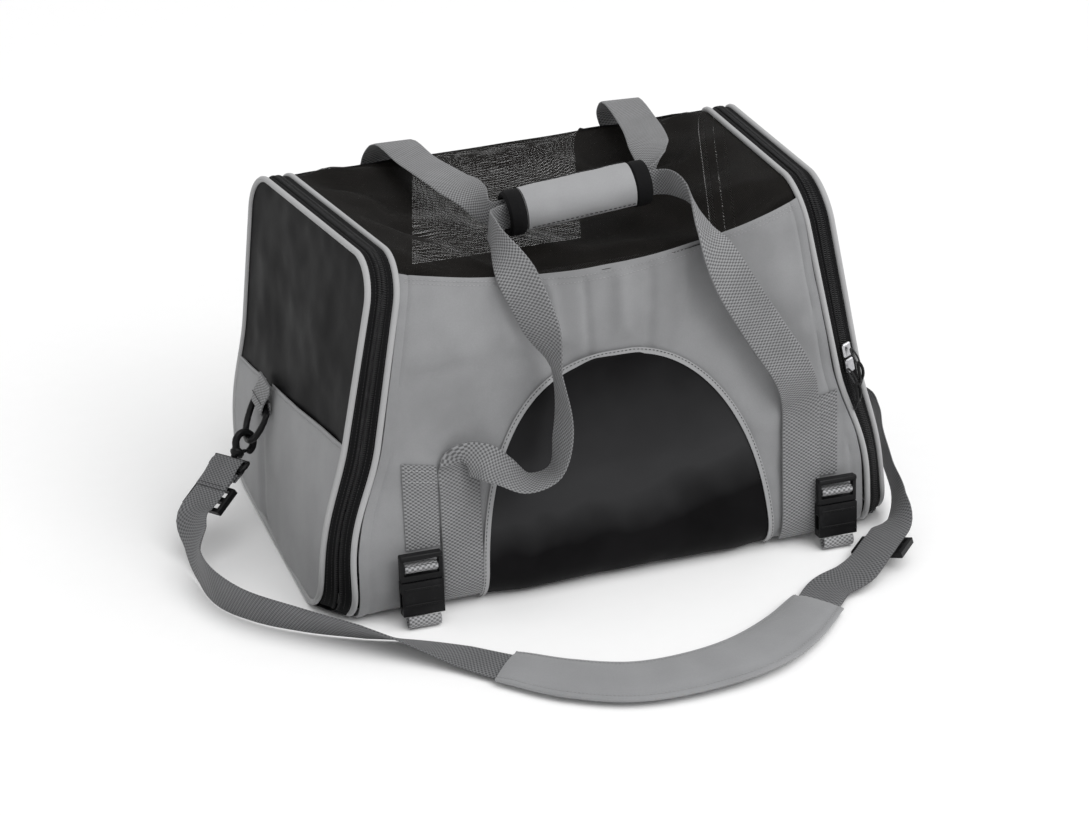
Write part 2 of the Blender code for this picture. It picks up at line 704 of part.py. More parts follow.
# ---------------------------------------------------------------- side buckles
def buckle_axes():
    """Across, outwards and up, in the plane of the wall behind the buckle."""
    up = Vector((0.0, math.sin(BUCKLE_TILT), math.cos(BUCKLE_TILT)))
    across = Vector((1, 0, 0))
    return across, up.cross(across).normalized() * -1.0, up


def buckle_origin(side):
    """Point on the wall's outer side at the buckle's foot."""
    foot = wall_point(BUCKLE_X[side], SOCKET_TOP)
    stand_off = BUCKLE_STAND_OFF + BUCKLE_DEPTH / 2
    across, out, up = buckle_axes()
    return foot + out * stand_off - up * SOCKET_TOP


def build_buckle(side, mats):
    across, out, up = buckle_axes()
    axes = (across, out, up)
    origin = buckle_origin(side)
    plastic = mats["black_plastic"]
    socket_length = SOCKET_TOP - SOCKET_BOTTOM
    socket_middle = origin + up * (SOCKET_TOP + SOCKET_BOTTOM) / 2
    socket = box_mesh("buckle_socket_" + side, socket_middle, axes,
                      (BUCKLE_WIDTH, BUCKLE_DEPTH, socket_length), plastic)
    cavity_width, cavity_depth, floor = 0.0270, 0.0056, 0.0050
    boolean(socket, "DIFFERENCE", socket_middle + up * floor, axes,
            (cavity_width, cavity_depth, socket_length))
    boolean(socket, "DIFFERENCE", socket_middle - up * 0.0015, axes,
            (BUCKLE_WIDTH * 1.2, cavity_depth, 0.0120))

    plug_top = BUCKLE_TOP
    plug_bottom = SOCKET_TOP + GAP
    plug_middle = origin + up * (plug_top + plug_bottom) / 2
    plug = box_mesh("buckle_plug_" + side, plug_middle, axes,
                    (BUCKLE_WIDTH, 0.0060, plug_top - plug_bottom), plastic,
                    pivot=origin + up * SOCKET_TOP)
    slot = (0.0285, 0.0200, 0.0042)
    for height in (0.0045, -0.0040):
        boolean(plug, "DIFFERENCE", plug_middle + up * height, axes, slot)
    tongue_low = SOCKET_BOTTOM + 0.0075
    boolean(plug, "UNION", origin + up * (plug_bottom + tongue_low) / 2 + up * 0.0005, axes,
            (0.0060, 0.0040, plug_bottom - tongue_low + 0.001))

    for hand in (-1.0, 1.0):
        root = origin + across * hand * 0.0075 + up * (SOCKET_TOP - GAP)
        path = [root, root - up * 0.008 + across * hand * 0.0020,
                root - up * 0.0165 + across * hand * 0.0035,
                root - up * 0.0200 + across * hand * 0.0010]
        name = "buckle_prong_" + side + ("_inner" if hand * OUTWARD[side] < 0 else "_outer")
        ribbon(name, path, [out] * 4, [0.0040] * 4, 0.0026, plastic, pivot=root)


def build_buckle_webbing(side, mats):
    """The strap sewn above a buckle and the tab that anchors its socket."""
    low, high = BUCKLE_STRAP_X[side]

    def strap(a, b):
        return wall_point(low + (high - low) * a,
                          BUCKLE_STRAP_FOOT + (BUCKLE_STRAP_TOP - BUCKLE_STRAP_FOOT) * b)

    sheet("buckle_strap_" + side, strap, 2, 4, 0.0017, 0.0012, mats["webbing"])
    across, out, up = buckle_axes()
    origin = buckle_origin(side)
    half = 0.0135
    thickness = 0.0018
    rows = [origin + up * height + out * stand
            for height, stand in ((0.0092, 0.0), (0.0045, 0.0), (0.0020, -0.0030))]
    outer_rows = [[p - across * half + out * thickness / 2,
                   p + across * half + out * thickness / 2] for p in rows]
    inner_rows = [[p - across * half - out * thickness / 2,
                   p + across * half - out * thickness / 2] for p in rows]
    verts, faces = [], []
    grid_solid(outer_rows, inner_rows, verts, faces)
    add_mesh("buckle_tab_" + side, verts, faces, mats["webbing"])


# ------------------------------------------------------- strap rings and hooks
STRAP_WIDTH = 0.036
HOOK_DIRECTION = {"left": Vector((-0.716, -0.466, -0.520)).normalized(),
                  "right": Vector((0.680, -0.500, -0.535)).normalized()}
STRAP_SIDE = {"left": Vector((0.467, -0.873, 0.139)), "right": Vector((0.35, 0.80, -0.30))}


def ring_down(side):
    """From the D-ring's bar to the middle of its bow, which stands off the door."""
    low = RING_BAR_Z - RING_DROP
    wall = door_point(side, (RING_Y + 0.134) / 0.272, low / 0.29)
    foot = Vector((wall.x + OUTWARD[side] * RING_STAND_OFF, RING_Y - RING_PULL, low))
    return foot - ring_bar(side)


def ring_bar(side):
    """Middle of the D-ring's straight bar, just off the door."""
    wall = door_point(side, (RING_Y + 0.134) / 0.272, RING_BAR_Z / 0.29)
    return Vector((wall.x + OUTWARD[side] * 0.0062, RING_Y, RING_BAR_Z))


def build_ring(side, mats):
    out = Vector((OUTWARD[side], 0, 0))
    bar = ring_bar(side)
    door_pivot = Vector((DOOR_CORNERS[side][0][0], 0.0, 0.003))
    wrap = RING_TUBE + WEBBING / 2 + 0.0005
    path = [bar + Vector((0, 0, 0.0165)) - out * 0.0040,
            bar + Vector((0, 0, 0.0080)) + out * 0.0005]
    for k in range(7):
        turn = math.radians(20 - 200 * k / 6)
        path.append(bar + out * math.cos(turn) * wrap + Vector((0, 0, math.sin(turn) * wrap)))
    path.append(bar - out * wrap + Vector((0, 0, 0.0050)))
    count = len(path)
    ribbon("ring_tab_" + side, path, [Vector((0, 1, 0))] * count, [0.034] * count, WEBBING,
           mats["webbing"], pivot=door_pivot)
    ring = [bar + Vector((0, RING_HALF * (2 * k / 4 - 1), 0)) for k in range(5)]
    for k in range(1, 12):
        turn = math.pi * k / 12
        ring.append(bar + Vector((0, RING_HALF * math.cos(turn), 0))
                    + ring_down(side) * math.sin(turn) ** 0.8)
    tube("d_ring_" + side, ring, RING_TUBE, 6, mats["black_plastic"], closed=True, pivot=bar,
         up=out)


def hook_frame(side):
    """Start point, strap direction, hook normal and third axis of a snap hook."""
    direction = HOOK_DIRECTION[side]
    normal = (Vector((0, 1, 0)) - direction * direction.y).normalized()
    third = direction.cross(normal)
    return ring_bar(side) + ring_down(side), direction, normal, third


def build_hook(side, mats):
    start, direction, normal, third = hook_frame(side)
    plastic = mats["black_plastic"]
    door_pivot = Vector((DOOR_CORNERS[side][0][0], 0.0, 0.003))
    radius, bar = 0.0088, 0.0021
    centre = start + direction * 0.0036
    arc = []
    for k in range(13):
        turn = math.radians(-150 + 262 * k / 12)
        arc.append(centre + direction * -math.cos(turn) * radius + third * math.sin(turn) * radius)
    arc.reverse()
    shank_start = centre + direction * (radius + 0.0005)
    tail = [arc[-1].lerp(shank_start, 0.8) + direction * 0.002, shank_start + direction * 0.0065]
    tube("hook_snap_" + side, arc + tail, bar, 6, plastic, pivot=shank_start, up=normal)
    gate_root = centre + direction * -math.cos(math.radians(172)) * radius * 0.80 \
        + third * math.sin(math.radians(150)) * radius * 0.75
    gate_tip = centre + direction * -math.cos(math.radians(122)) * radius * 0.9 \
        + third * math.sin(math.radians(124)) * radius * 0.80
    tube("hook_gate_" + side, [gate_root, gate_root.lerp(gate_tip, 0.5), gate_tip], 0.0010, 6,
         plastic, pivot=gate_root, up=normal)

    eye_start = shank_start + direction * (0.0065 + GAP)
    side_axis = STRAP_SIDE[side] - direction * STRAP_SIDE[side].dot(direction)
    side_axis.normalize()
    half, depth = STRAP_WIDTH / 2 + 0.0018, 0.0085
    frame = [eye_start + direction * 0.0020 - side_axis * half,
             eye_start + direction * 0.0020 + side_axis * 0.0,
             eye_start + direction * 0.0020 + side_axis * half,
             eye_start + direction * (0.0020 + depth / 2) + side_axis * half,
             eye_start + direction * (0.0020 + depth) + side_axis * half,
             eye_start + direction * (0.0020 + depth),
             eye_start + direction * (0.0020 + depth) - side_axis * half,
             eye_start + direction * (0.0020 + depth / 2) - side_axis * half]
    tube("hook_eye_" + side, frame, 0.0015, 6, plastic, closed=True, pivot=door_pivot,
         up=side_axis)
    return eye_start + direction * (0.0020 + depth), side_axis


def strap_start(side):
    """Where a strap leaves its hook."""
    start, direction, _, _ = hook_frame(side)
    return start + direction * (0.0036 + 0.0088 + 0.0005 + 0.0065 + GAP + 0.0020 + 0.0085 + 0.0045)


STRAP_OVER_GLIDE = 0.0048
RIGHT_GLIDE_AT = Vector((0.2180, -0.1960, 0.0120))
RIGHT_GLIDE_ALONG = Vector((-0.74, -0.66, -0.12)).normalized()
RIGHT_GLIDE_SIDE = Vector((0.66, -0.70, 0.25))


def glide_frame(side):
    """Middle, direction along the strap, width direction and normal of an adjuster."""
    if side == "left":
        along, width = HOOK_DIRECTION["left"], STRAP_SIDE["left"]
    else:
        along, width = RIGHT_GLIDE_ALONG, RIGHT_GLIDE_SIDE
    across = (width - along * width.dot(along)).normalized()
    normal = across.cross(along)
    if normal.z < 0:
        normal.negate()
    if side == "left":
        return strap_start(side) + along * 0.024 - normal * STRAP_OVER_GLIDE, along, across, normal
    return RIGHT_GLIDE_AT, along, across, normal


def build_glide(side, mats):
    """Three-bar strap adjuster: an outer frame with a middle bar."""
    centre, along, across, normal = glide_frame(side)
    axes = (across, normal, along)
    size = (STRAP_WIDTH + 0.0090, 0.0044, 0.0240)
    glide = box_mesh("strap_glide_" + side, centre, axes, size, mats["black_plastic"],
                     pivot=centre)
    for offset in (-0.0055, 0.0055):
        boolean(glide, "DIFFERENCE", centre + along * offset, axes,
                (STRAP_WIDTH + 0.0025, 0.02, 0.0070))


def over_glide(side, shifts):
    """Strap stations that run straight over an adjuster."""
    centre, along, across, normal = glide_frame(side)
    turn = across if side == "left" else -across
    return [(centre + normal * STRAP_OVER_GLIDE + along * shift, turn, STRAP_WIDTH)
            for shift in shifts]


def build_strap(mats):
    """Shoulder strap, from each hook down to the floor and round to its pad."""
    wide = STRAP_WIDTH
    up = Vector((0, 0, 1))
    left = [
        *over_glide("left", (-0.024, -0.012, 0.0, 0.018)),
        ((-0.3150, -0.0220, 0.0270), (0.30, -0.75, 0.55), wide),
        ((-0.3195, -0.0530, 0.0200), (0.00, -0.25, 0.97), wide),
        ((-0.3160, -0.0880, 0.0190), (-0.10, 0.0, 0.99), wide),
        ((-0.2980, -0.1240, 0.0185), (-0.25, -0.15, 0.95), wide),
        ((-0.2640, -0.1580, 0.0175), (-0.30, -0.35, 0.90), wide),
        ((-0.2220, -0.1880, 0.0145), (-0.35, -0.55, 0.70), wide),
        ((-0.1840, -0.2110, 0.0090), (-0.40, -0.75, 0.35), wide),
        ((-0.1560, -0.2330, 0.0055), (-0.60, -0.70, 0.10), wide),
        ((-0.1330, -0.2560, 0.0048), (-0.70, -0.70, 0.0), wide),
    ]
    smooth_ribbon("shoulder_strap_left", left, WEBBING, mats["webbing"], steps=2)
    start = strap_start("right")
    right = [
        (start, STRAP_SIDE["right"], wide),
        (start + HOOK_DIRECTION["right"] * 0.010, STRAP_SIDE["right"], wide),
        ((0.2960, -0.0080, 0.0480), (0.28, 0.70, -0.62), wide),
        ((0.2900, -0.0380, 0.0430), (0.20, 0.45, -0.85), wide),
        ((0.2760, -0.0750, 0.0400), (0.15, 0.25, -0.95), wide),
        ((0.2660, -0.1150, 0.0300), (0.05, -0.10, -0.98), wide),
        ((0.2500, -0.1560, 0.0230), (-0.30, 0.20, -0.85), wide),
        *over_glide("right", (-0.018, 0.0, 0.018)),
        ((0.1800, -0.2230, 0.0085), (-0.62, 0.75, -0.05), wide),
        ((0.1560, -0.2310, 0.0052), (-0.68, 0.72, 0.0), wide),
        ((0.1380, -0.2480, 0.0048), (-0.68, 0.72, 0.0), wide),
    ]
    smooth_ribbon("shoulder_strap_right", right, WEBBING, mats["webbing"], steps=2)
    pad = [
        ((-0.1300, -0.2590, 0.0060), (-0.60, -0.78, 0.0), 0.044),
        ((-0.0900, -0.2930, 0.0065), (-0.45, -0.90, 0.0), 0.052),
        ((-0.0480, -0.3140, 0.0070), (-0.20, -0.98, 0.0), 0.054),
        ((0.0050, -0.3180, 0.0080), (0.10, -1.0, 0.0), 0.053),
        ((0.0560, -0.3080, 0.0090), (0.28, -0.96, 0.0), 0.053),
        ((0.0960, -0.2850, 0.0080), (0.50, -0.86, 0.0), 0.050),
        ((0.1350, -0.2510, 0.0062), (0.66, -0.75, 0.0), 0.044),
    ]
    path = spline([p for p, _, _ in pad], 2)
    sides = spline([s for _, s, _ in pad], 2)
    widths = [v.x for v in spline([(w, 0, 0) for _, _, w in pad], 2)]
    outer_rows, inner_rows = [], []
    for point, tangent, side, width in zip(path, tangents(path), sides, widths):
        across = (side - tangent * side.dot(tangent)).normalized()
        normal = up
        lift, edge = 0.0052, 0.0020
        outer_rows.append([point - across * width / 2 + normal * edge, point + normal * lift,
                           point + across * width / 2 + normal * edge])
        inner_rows.append([point - across * width / 2 - normal * edge, point - normal * lift,
                           point + across * width / 2 - normal * edge])
    verts, faces = [], []
    grid_solid(outer_rows, inner_rows, verts, faces)
    add_mesh("shoulder_pad", verts, faces, mats["grey_fabric"])


# ---------------------------------------------------------------- zip sliders
def zip_line(side, z, rear):
    """Point, outward normal and upward tangent of the zip at a height."""
    station = {}
    for height in (z, z + 0.01):
        low, high = (REAR_START, REAR_END) if rear else (FRONT_START, FRONT_END)
        a, b = float(low), float(high)
        for _ in range(30):
            s = (a + b) / 2
            above = loop_at(BODY_LOOP[side], s).z > height
            if above == rear:
                a = s
            else:
                b = s
        station[height] = s
    near, far = loop_at(BODY_LOOP[side], station[z]), loop_at(DOOR_LOOP[side], station[z])
    middle = near.lerp(far, 0.5)
    above = loop_at(BODY_LOOP[side], station[z + 0.01]).lerp(
        loop_at(DOOR_LOOP[side], station[z + 0.01]), 0.5)
    up = (above - middle).normalized()
    across = (far - near).normalized()
    out = up.cross(across).normalized()
    if out.y * (1.0 if rear else -1.0) < 0:
        out.negate()
    return middle, out, up


def build_sliders(side, rear, mats):
    """Two sliders that meet nose to nose, each with a hinged pull."""
    for word, step in (("upper", 0.5), ("lower", -0.5)):
        height = SLIDER_Z + step * (SLIDER_LENGTH + 0.0012)
        point, out, up = zip_line(side, height, rear)
        across = up.cross(out)
        axes = (across, out, up)
        centre = point + out * 0.0030
        box_mesh("zip_slider_%s_%s" % (side, word), centre, axes,
                 (0.0090, 0.0040, SLIDER_LENGTH), mats["zip_metal"], pivot=centre,
                 bevel=0.0012)
        hinge = centre + out * 0.0042 + up * (0.0015 if word == "upper" else 0.0005)
        shift = across * (0.0036 if word == "upper" else -0.0036)
        path = [hinge + shift, hinge + shift + out * 0.0012 - up * 0.012,
                hinge + shift + out * 0.0022 - up * 0.024, hinge + shift + out * 0.0014 - up * 0.038]
        ribbon("pull_tab_%s_%s" % (side, word), path, [across] * 4,
               [0.0030, 0.0062, 0.0066, 0.0050], 0.0026, mats["black_plastic"], pivot=hinge)


def build():
    clear_scene()
    mats = make_materials()
    build_shell(mats)
    build_pocket(mats)
    for side in SIDES:
        build_end_trim(side, mats)
        build_door(side, mats)
        build_buckle(side, mats)
        build_buckle_webbing(side, mats)
        build_ring(side, mats)
        build_hook(side, mats)
        build_glide(side, mats)
        build_sliders(side, side == "left", mats)
    build_handles(mats)
    build_grip(mats)
    build_strap(mats)


build()
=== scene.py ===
"""Looks of a soft pet carrier bag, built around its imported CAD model.

Metres, +Z up. +X runs along the bag from the left door to the right one, the
front pocket faces -Y, and the origin is the middle of the base on the floor.
"""

import json
import math

import bmesh
import bpy
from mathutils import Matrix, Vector, noise


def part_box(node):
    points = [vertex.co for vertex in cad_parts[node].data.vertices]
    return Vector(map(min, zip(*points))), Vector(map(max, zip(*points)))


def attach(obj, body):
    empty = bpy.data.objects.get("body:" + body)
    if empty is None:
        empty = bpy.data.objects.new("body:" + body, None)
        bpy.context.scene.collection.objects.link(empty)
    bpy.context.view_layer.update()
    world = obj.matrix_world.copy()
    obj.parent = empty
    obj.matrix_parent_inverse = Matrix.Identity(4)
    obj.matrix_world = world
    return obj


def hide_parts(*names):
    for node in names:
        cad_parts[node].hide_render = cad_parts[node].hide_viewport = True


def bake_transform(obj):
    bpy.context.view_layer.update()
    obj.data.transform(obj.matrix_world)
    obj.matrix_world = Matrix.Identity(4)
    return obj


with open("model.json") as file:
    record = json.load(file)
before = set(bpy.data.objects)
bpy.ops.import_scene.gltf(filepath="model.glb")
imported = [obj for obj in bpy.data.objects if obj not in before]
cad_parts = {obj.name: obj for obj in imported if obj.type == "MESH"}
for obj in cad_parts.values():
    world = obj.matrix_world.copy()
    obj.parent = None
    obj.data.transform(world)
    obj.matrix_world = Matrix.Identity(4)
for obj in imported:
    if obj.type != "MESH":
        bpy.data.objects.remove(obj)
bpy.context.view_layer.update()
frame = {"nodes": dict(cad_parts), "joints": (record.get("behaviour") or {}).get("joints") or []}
SIDES = ("left", "right")
OUTWARD = {"left": -1.0, "right": 1.0}
JOINTS = {joint["name"]: joint for joint in frame["joints"]}
UP = Vector((0.0, 0.0, 1.0))


def joint_at(name):
    return Vector(JOINTS[name]["pos_m"])


def joint_axis(name):
    return Vector(JOINTS[name]["axis"]).normalized()


# ------------------------------------------------------------------- camera
CAMERA_PLACE = (-0.672, -1.867, 1.043)
CAMERA_TURN = -19.62
CAMERA_TILT = 25.77
CAMERA_LENS = 85.95
SENSOR_WIDTH = 36.0


def make_camera():
    data = bpy.data.cameras.new("camera")
    data.lens = CAMERA_LENS
    data.sensor_width = SENSOR_WIDTH
    camera = bpy.data.objects.new("camera", data)
    camera.location = CAMERA_PLACE
    camera.rotation_euler = (math.radians(90.0 - CAMERA_TILT), 0.0, math.radians(CAMERA_TURN))
    bpy.context.scene.collection.objects.link(camera)
    bpy.context.scene.camera = camera


# ---------------------------------------------------------------- materials
class Shader:
    """Builds one procedural material; sockets and plain numbers mix freely as inputs."""

    def __init__(self, name, roughness=0.7, metallic=0.0, specular=0.5):
        self.material = bpy.data.materials.new(name)
        self.material.use_nodes = True
        self.tree = self.material.node_tree
        self.surface = self.tree.nodes["Principled BSDF"]
        self.set("Roughness", roughness)
        self.set("Metallic", metallic)
        self.set("Specular IOR Level", specular)

    def set(self, socket, value):
        self.plug(self.surface.inputs[socket], value)

    def plug(self, target, value):
        if isinstance(value, bpy.types.NodeSocket):
            self.tree.links.new(value, target)
        elif isinstance(value, tuple) and len(value) == 3 and target.type == "RGBA":
            target.default_value = (*value, 1.0)
        else:
            target.default_value = value

    def math(self, operation, a, b=0.0):
        node = self.tree.nodes.new("ShaderNodeMath")
        node.operation = operation
        self.plug(node.inputs[0], a)
        self.plug(node.inputs[1], b)
        return node.outputs[0]

    def place(self, kind="Object"):
        node = self.tree.nodes.new("ShaderNodeTexCoord")
        return node.outputs[kind]

    def split(self, vector):
        node = self.tree.nodes.new("ShaderNodeSeparateXYZ")
        self.plug(node.inputs[0], vector)
        return node.outputs

    def noise(self, scale, detail=3.0, roughness=0.55):
        node = self.tree.nodes.new("ShaderNodeTexNoise")
        self.plug(node.inputs["Vector"], self.place())
        node.inputs["Scale"].default_value = scale
        node.inputs["Detail"].default_value = detail
        node.inputs["Roughness"].default_value = roughness
        return node.outputs["Fac"]

    def ramp(self, value, low, high, to_low=0.0, to_high=1.0):
        node = self.tree.nodes.new("ShaderNodeMapRange")
        self.plug(node.inputs["Value"], value)
        for socket, number in zip(("From Min", "From Max", "To Min", "To Max"),
                                  (low, high, to_low, to_high)):
            node.inputs[socket].default_value = number
        return node.outputs["Result"]

    def mix(self, share, first, second):
        node = self.tree.nodes.new("ShaderNodeMix")
        node.data_type = "RGBA"
        self.plug(node.inputs["Factor"], share)
        self.plug(node.inputs["A"], first)
        self.plug(node.inputs["B"], second)
        return node.outputs["Result"]

    def bump(self, height, distance, strength=1.0, under=None):
        node = self.tree.nodes.new("ShaderNodeBump")
        node.inputs["Strength"].default_value = strength
        node.inputs["Distance"].default_value = distance
        self.plug(node.inputs["Height"], height)
        if under is not None:
            self.plug(node.inputs["Normal"], under)
        return node.outputs["Normal"]

    def weave(self, pitch_along, pitch_across):
        """Height of crossing yarns from the cloth's own UV, which is in metres."""
        along, across, _ = self.split(self.place("UV"))
        first = self.math("SINE", self.math("MULTIPLY", along, 2 * math.pi / pitch_along))
        second = self.math("SINE", self.math("MULTIPLY", across, 2 * math.pi / pitch_across))
        return self.ramp(self.math("MULTIPLY", first, second), -1.0, 1.0)


CLOTH_ROUGHNESS = 0.82


def shade(colour, factor):
    return tuple(min(c * factor, 1.0) for c in colour)


def cloth_material(name, colour, pitch=0.0011, relief=0.00012, mottle=0.12, sheen=0.25):
    """Plain-woven cloth: yarn bumps, slubs along the yarns and slow patches of wear."""
    s = Shader(name, CLOTH_ROUGHNESS, specular=0.08)
    yarn = s.weave(pitch, pitch)
    slub = s.noise(900.0, 2.0)
    patch = s.noise(14.0, 4.0)
    worn = s.mix(s.ramp(patch, 0.35, 0.68), shade(colour, 1 - mottle), shade(colour, 1 + mottle))
    grain = s.mix(s.ramp(s.math("ADD", yarn, slub), 0.5, 1.5, 0.0, 0.35), worn,
                  shade(colour, 0.62))
    s.set("Base Color", grain)
    s.set("Sheen Weight", sheen)
    s.set("Sheen Roughness", 0.6)
    s.set("Normal", s.bump(yarn, relief, 0.6, s.bump(slub, relief * 0.7, 0.5)))
    s.set("Roughness", s.ramp(slub, 0.3, 0.7, CLOTH_ROUGHNESS - 0.06, CLOTH_ROUGHNESS + 0.08))
    return s.material


WEBBING_PITCH = (0.0030, 0.0044)


def webbing_material(name, colour):
    """Webbing: staggered plump yarn crossings with dark gaps."""
    s = Shader(name, 0.75, specular=0.3)
    yarn = s.weave(*WEBBING_PITCH)
    fibre = s.noise(1600.0, 2.0)
    soft = s.noise(30.0, 3.0)
    light = s.mix(s.ramp(soft, 0.3, 0.7), shade(colour, 0.9), shade(colour, 1.12))
    s.set("Base Color", s.mix(s.ramp(yarn, 0.32, 0.62), shade(colour, 0.38), light))
    s.set("Sheen Weight", 0.12)
    s.set("Normal", s.bump(yarn, 0.0005, 0.9, s.bump(fibre, 0.0001, 0.5)))
    return s.material


def nylon_material(name, colour, roughness=0.42, painted_sheen_grey=0.0):
    """Coated nylon: a smooth film over a very fine weave, with soft creases.

    The grey level, when given, paints a soft sheen (a painted reflection) over the stretch between
    a wavy low edge and the top.
    """
    s = Shader(name, roughness, specular=0.035)
    yarn = s.weave(0.0008, 0.0008)
    soft = s.noise(22.0, 3.0, 0.5)
    fine = s.noise(140.0, 2.0)
    film = s.mix(s.ramp(soft, 0.3, 0.7), shade(colour, 0.8), shade(colour, 1.3))
    # Painted sheen: a wavy band of the film turned grey, standing in for a soft reflection.
    if painted_sheen_grey:
        x, _, z = s.split(s.place())
        level = s.math("ADD", s.math("SUBTRACT", z, s.math("MULTIPLY", x, 0.12)),
                       s.math("MULTIPLY", s.noise(16.0, 2.0), 0.05))
        painted_sheen_band = s.math("MULTIPLY", s.ramp(level, 0.070, 0.105), s.ramp(level, 0.215, 0.120))
        film = s.mix(painted_sheen_band, film, (painted_sheen_grey, painted_sheen_grey, painted_sheen_grey * 1.04))
    s.set("Base Color", film)
    s.set("Roughness", s.ramp(soft, 0.3, 0.7, roughness - 0.05, roughness + 0.10))
    s.set("Normal", s.bump(yarn, 0.00003, 0.4, s.bump(fine, 0.00012, 0.35,
                                                      s.bump(soft, 0.0006, 0.5))))
    return s.material


def mesh_material(name, colour, pitch, openness):
    """Open mesh: thin dark yarns round holes that show what is behind."""
    s = Shader(name, 0.6, specular=0.12)
    along, across, _ = s.split(s.place("UV"))
    first = s.math("ABSOLUTE", s.math("SINE", s.math("MULTIPLY", along, math.pi / pitch)))
    second = s.math("ABSOLUTE", s.math("SINE", s.math("MULTIPLY", across, math.pi / pitch)))
    hole = s.math("MULTIPLY", first, second)
    s.set("Base Color", s.mix(s.noise(60.0, 3.0), shade(colour, 0.7), shade(colour, 1.4)))
    s.set("Alpha", s.ramp(hole, openness, openness + 0.08, 1.0, 0.0))
    s.set("Normal", s.bump(hole, 0.0002, 0.4))
    s.material.surface_render_method = "DITHERED"
    return s.material


def plastic_material(name, colour, roughness=0.36):
    """Moulded acetal: fine spark-eroded grain and faint scuffs."""
    s = Shader(name, roughness, specular=0.18)
    grain = s.noise(2600.0, 2.0)
    scuff = s.noise(120.0, 5.0, 0.7)
    s.set("Base Color", s.mix(s.ramp(scuff, 0.55, 0.75), colour, shade(colour, 2.2)))
    s.set("Roughness", s.ramp(scuff, 0.35, 0.7, roughness - 0.06, roughness + 0.16))
    s.set("Normal", s.bump(grain, 0.00004, 0.5))
    return s.material


def metal_material(name, colour, roughness=0.2):
    s = Shader(name, roughness, metallic=1.0)
    brushed = s.noise(500.0, 3.0)
    s.set("Base Color", s.mix(s.ramp(brushed, 0.3, 0.7), shade(colour, 0.85), colour))
    s.set("Roughness", s.ramp(s.noise(90.0), 0.3, 0.7, roughness - 0.06, roughness + 0.14))
    s.set("Normal", s.bump(brushed, 0.00003, 0.3))
    return s.material


def fleece_material(name, colour):
    s = Shader(name, 0.95, specular=0.15)
    pile = s.noise(420.0, 5.0, 0.7)
    s.set("Base Color", s.mix(s.ramp(pile, 0.3, 0.7), shade(colour, 0.65), shade(colour, 1.2)))
    s.set("Sheen Weight", 0.6)
    s.set("Normal", s.bump(pile, 0.0016, 0.8))
    return s.material


def floor_material():
    s = Shader("studio_floor", 0.65, specular=0.2)
    paper = s.noise(60.0, 4.0)
    s.set("Base Color", s.mix(s.ramp(paper, 0.3, 0.7), (0.955,) * 3, (0.965,) * 3))
    s.set("Normal", s.bump(paper, 0.0002, 0.1))
    return s.material


GREY = (0.262, 0.264, 0.270)
BLACK = (0.0060, 0.0058, 0.0062)
MATERIALS = {
    "grey_fabric": cloth_material("grey_fabric_look", GREY),
    "pad_fabric": cloth_material("pad_fabric_look", (0.275, 0.278, 0.285), pitch=0.0009,
                                 mottle=0.07),
    "wrap_fabric": cloth_material("wrap_fabric_look", (0.335, 0.337, 0.345), pitch=0.0009,
                                  mottle=0.07),
    "light_trim": cloth_material("light_trim_look", (0.40, 0.402, 0.406), pitch=0.0012,
                                 mottle=0.06),
    "black_binding": cloth_material("black_binding_look", (0.008, 0.008, 0.0085), pitch=0.0012,
                                    relief=0.0002, mottle=0.2, sheen=0.02),
    "black_nylon": nylon_material("black_nylon_look", BLACK),
    # The pocket's nylon carries a painted sheen across its middle.
    "pocket_nylon": nylon_material("pocket_nylon_look", BLACK, 0.40, painted_sheen_grey=0.034),
    "edge_fabric": cloth_material("edge_fabric_look", (0.34, 0.342, 0.348), pitch=0.0012,
                                  mottle=0.06),
    "black_mesh": mesh_material("black_mesh_look", (0.011, 0.0098, 0.0088), 0.0013, 0.39),
    "webbing": webbing_material("webbing_look", (0.255, 0.257, 0.263)),
    "strap_webbing": webbing_material("strap_webbing_look", (0.165, 0.167, 0.173)),
    "pale_webbing_flat": webbing_material("pale_webbing_flat_look", (0.36, 0.362, 0.37)),
    "zip_tape": cloth_material("zip_tape_look", (0.007, 0.007, 0.0075), pitch=0.0014,
                               relief=0.0002, mottle=0.2, sheen=0.02),
    "zip_coil": plastic_material("zip_coil_look", (0.030, 0.030, 0.031), 0.42),
    "zip_metal": metal_material("zip_metal_look", (0.52, 0.52, 0.54), 0.28),
    "black_plastic": plastic_material("black_plastic_look", (0.0065, 0.0065, 0.007)),
    "thread": cloth_material("thread_look", (0.33, 0.33, 0.335), pitch=0.0006, mottle=0.1),
    "dark_thread": cloth_material("dark_thread_look", (0.03, 0.03, 0.03), pitch=0.0006,
                                  sheen=0.1),
    "board": plastic_material("board_look", (0.03, 0.03, 0.03), 0.7),
    "fleece": fleece_material("fleece_look", (0.10, 0.10, 0.105)),
}


# ------------------------------------------------------------- mesh builders
CLOTH_THICKNESS = 0.0013


def add_piece(name, shape, material, body, replaces=(), crisp=40):
    """A piece that rides on a body, from world-space verts, faces and a UV pair for each vert."""
    verts, faces, uvs = shape
    mesh = bpy.data.meshes.new(name)
    mesh.from_pydata([tuple(v) for v in verts], [], faces)
    work = bmesh.new()
    work.from_mesh(mesh)
    bmesh.ops.recalc_face_normals(work, faces=work.faces)
    if uvs:
        layer = work.loops.layers.uv.new("cloth")
        for face in work.faces:
            for loop in face.loops:
                loop[layer].uv = uvs[loop.vert.index]
    work.to_mesh(mesh)
    work.free()
    mesh.shade_smooth()
    mesh.set_sharp_from_angle(angle=math.radians(crisp))
    mesh.materials.append(MATERIALS[material])
    piece = bpy.data.objects.new(name, mesh)
    bpy.context.scene.collection.objects.link(piece)
    if body:
        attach(piece, body)
    if replaces:
        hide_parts(*replaces)
    return piece


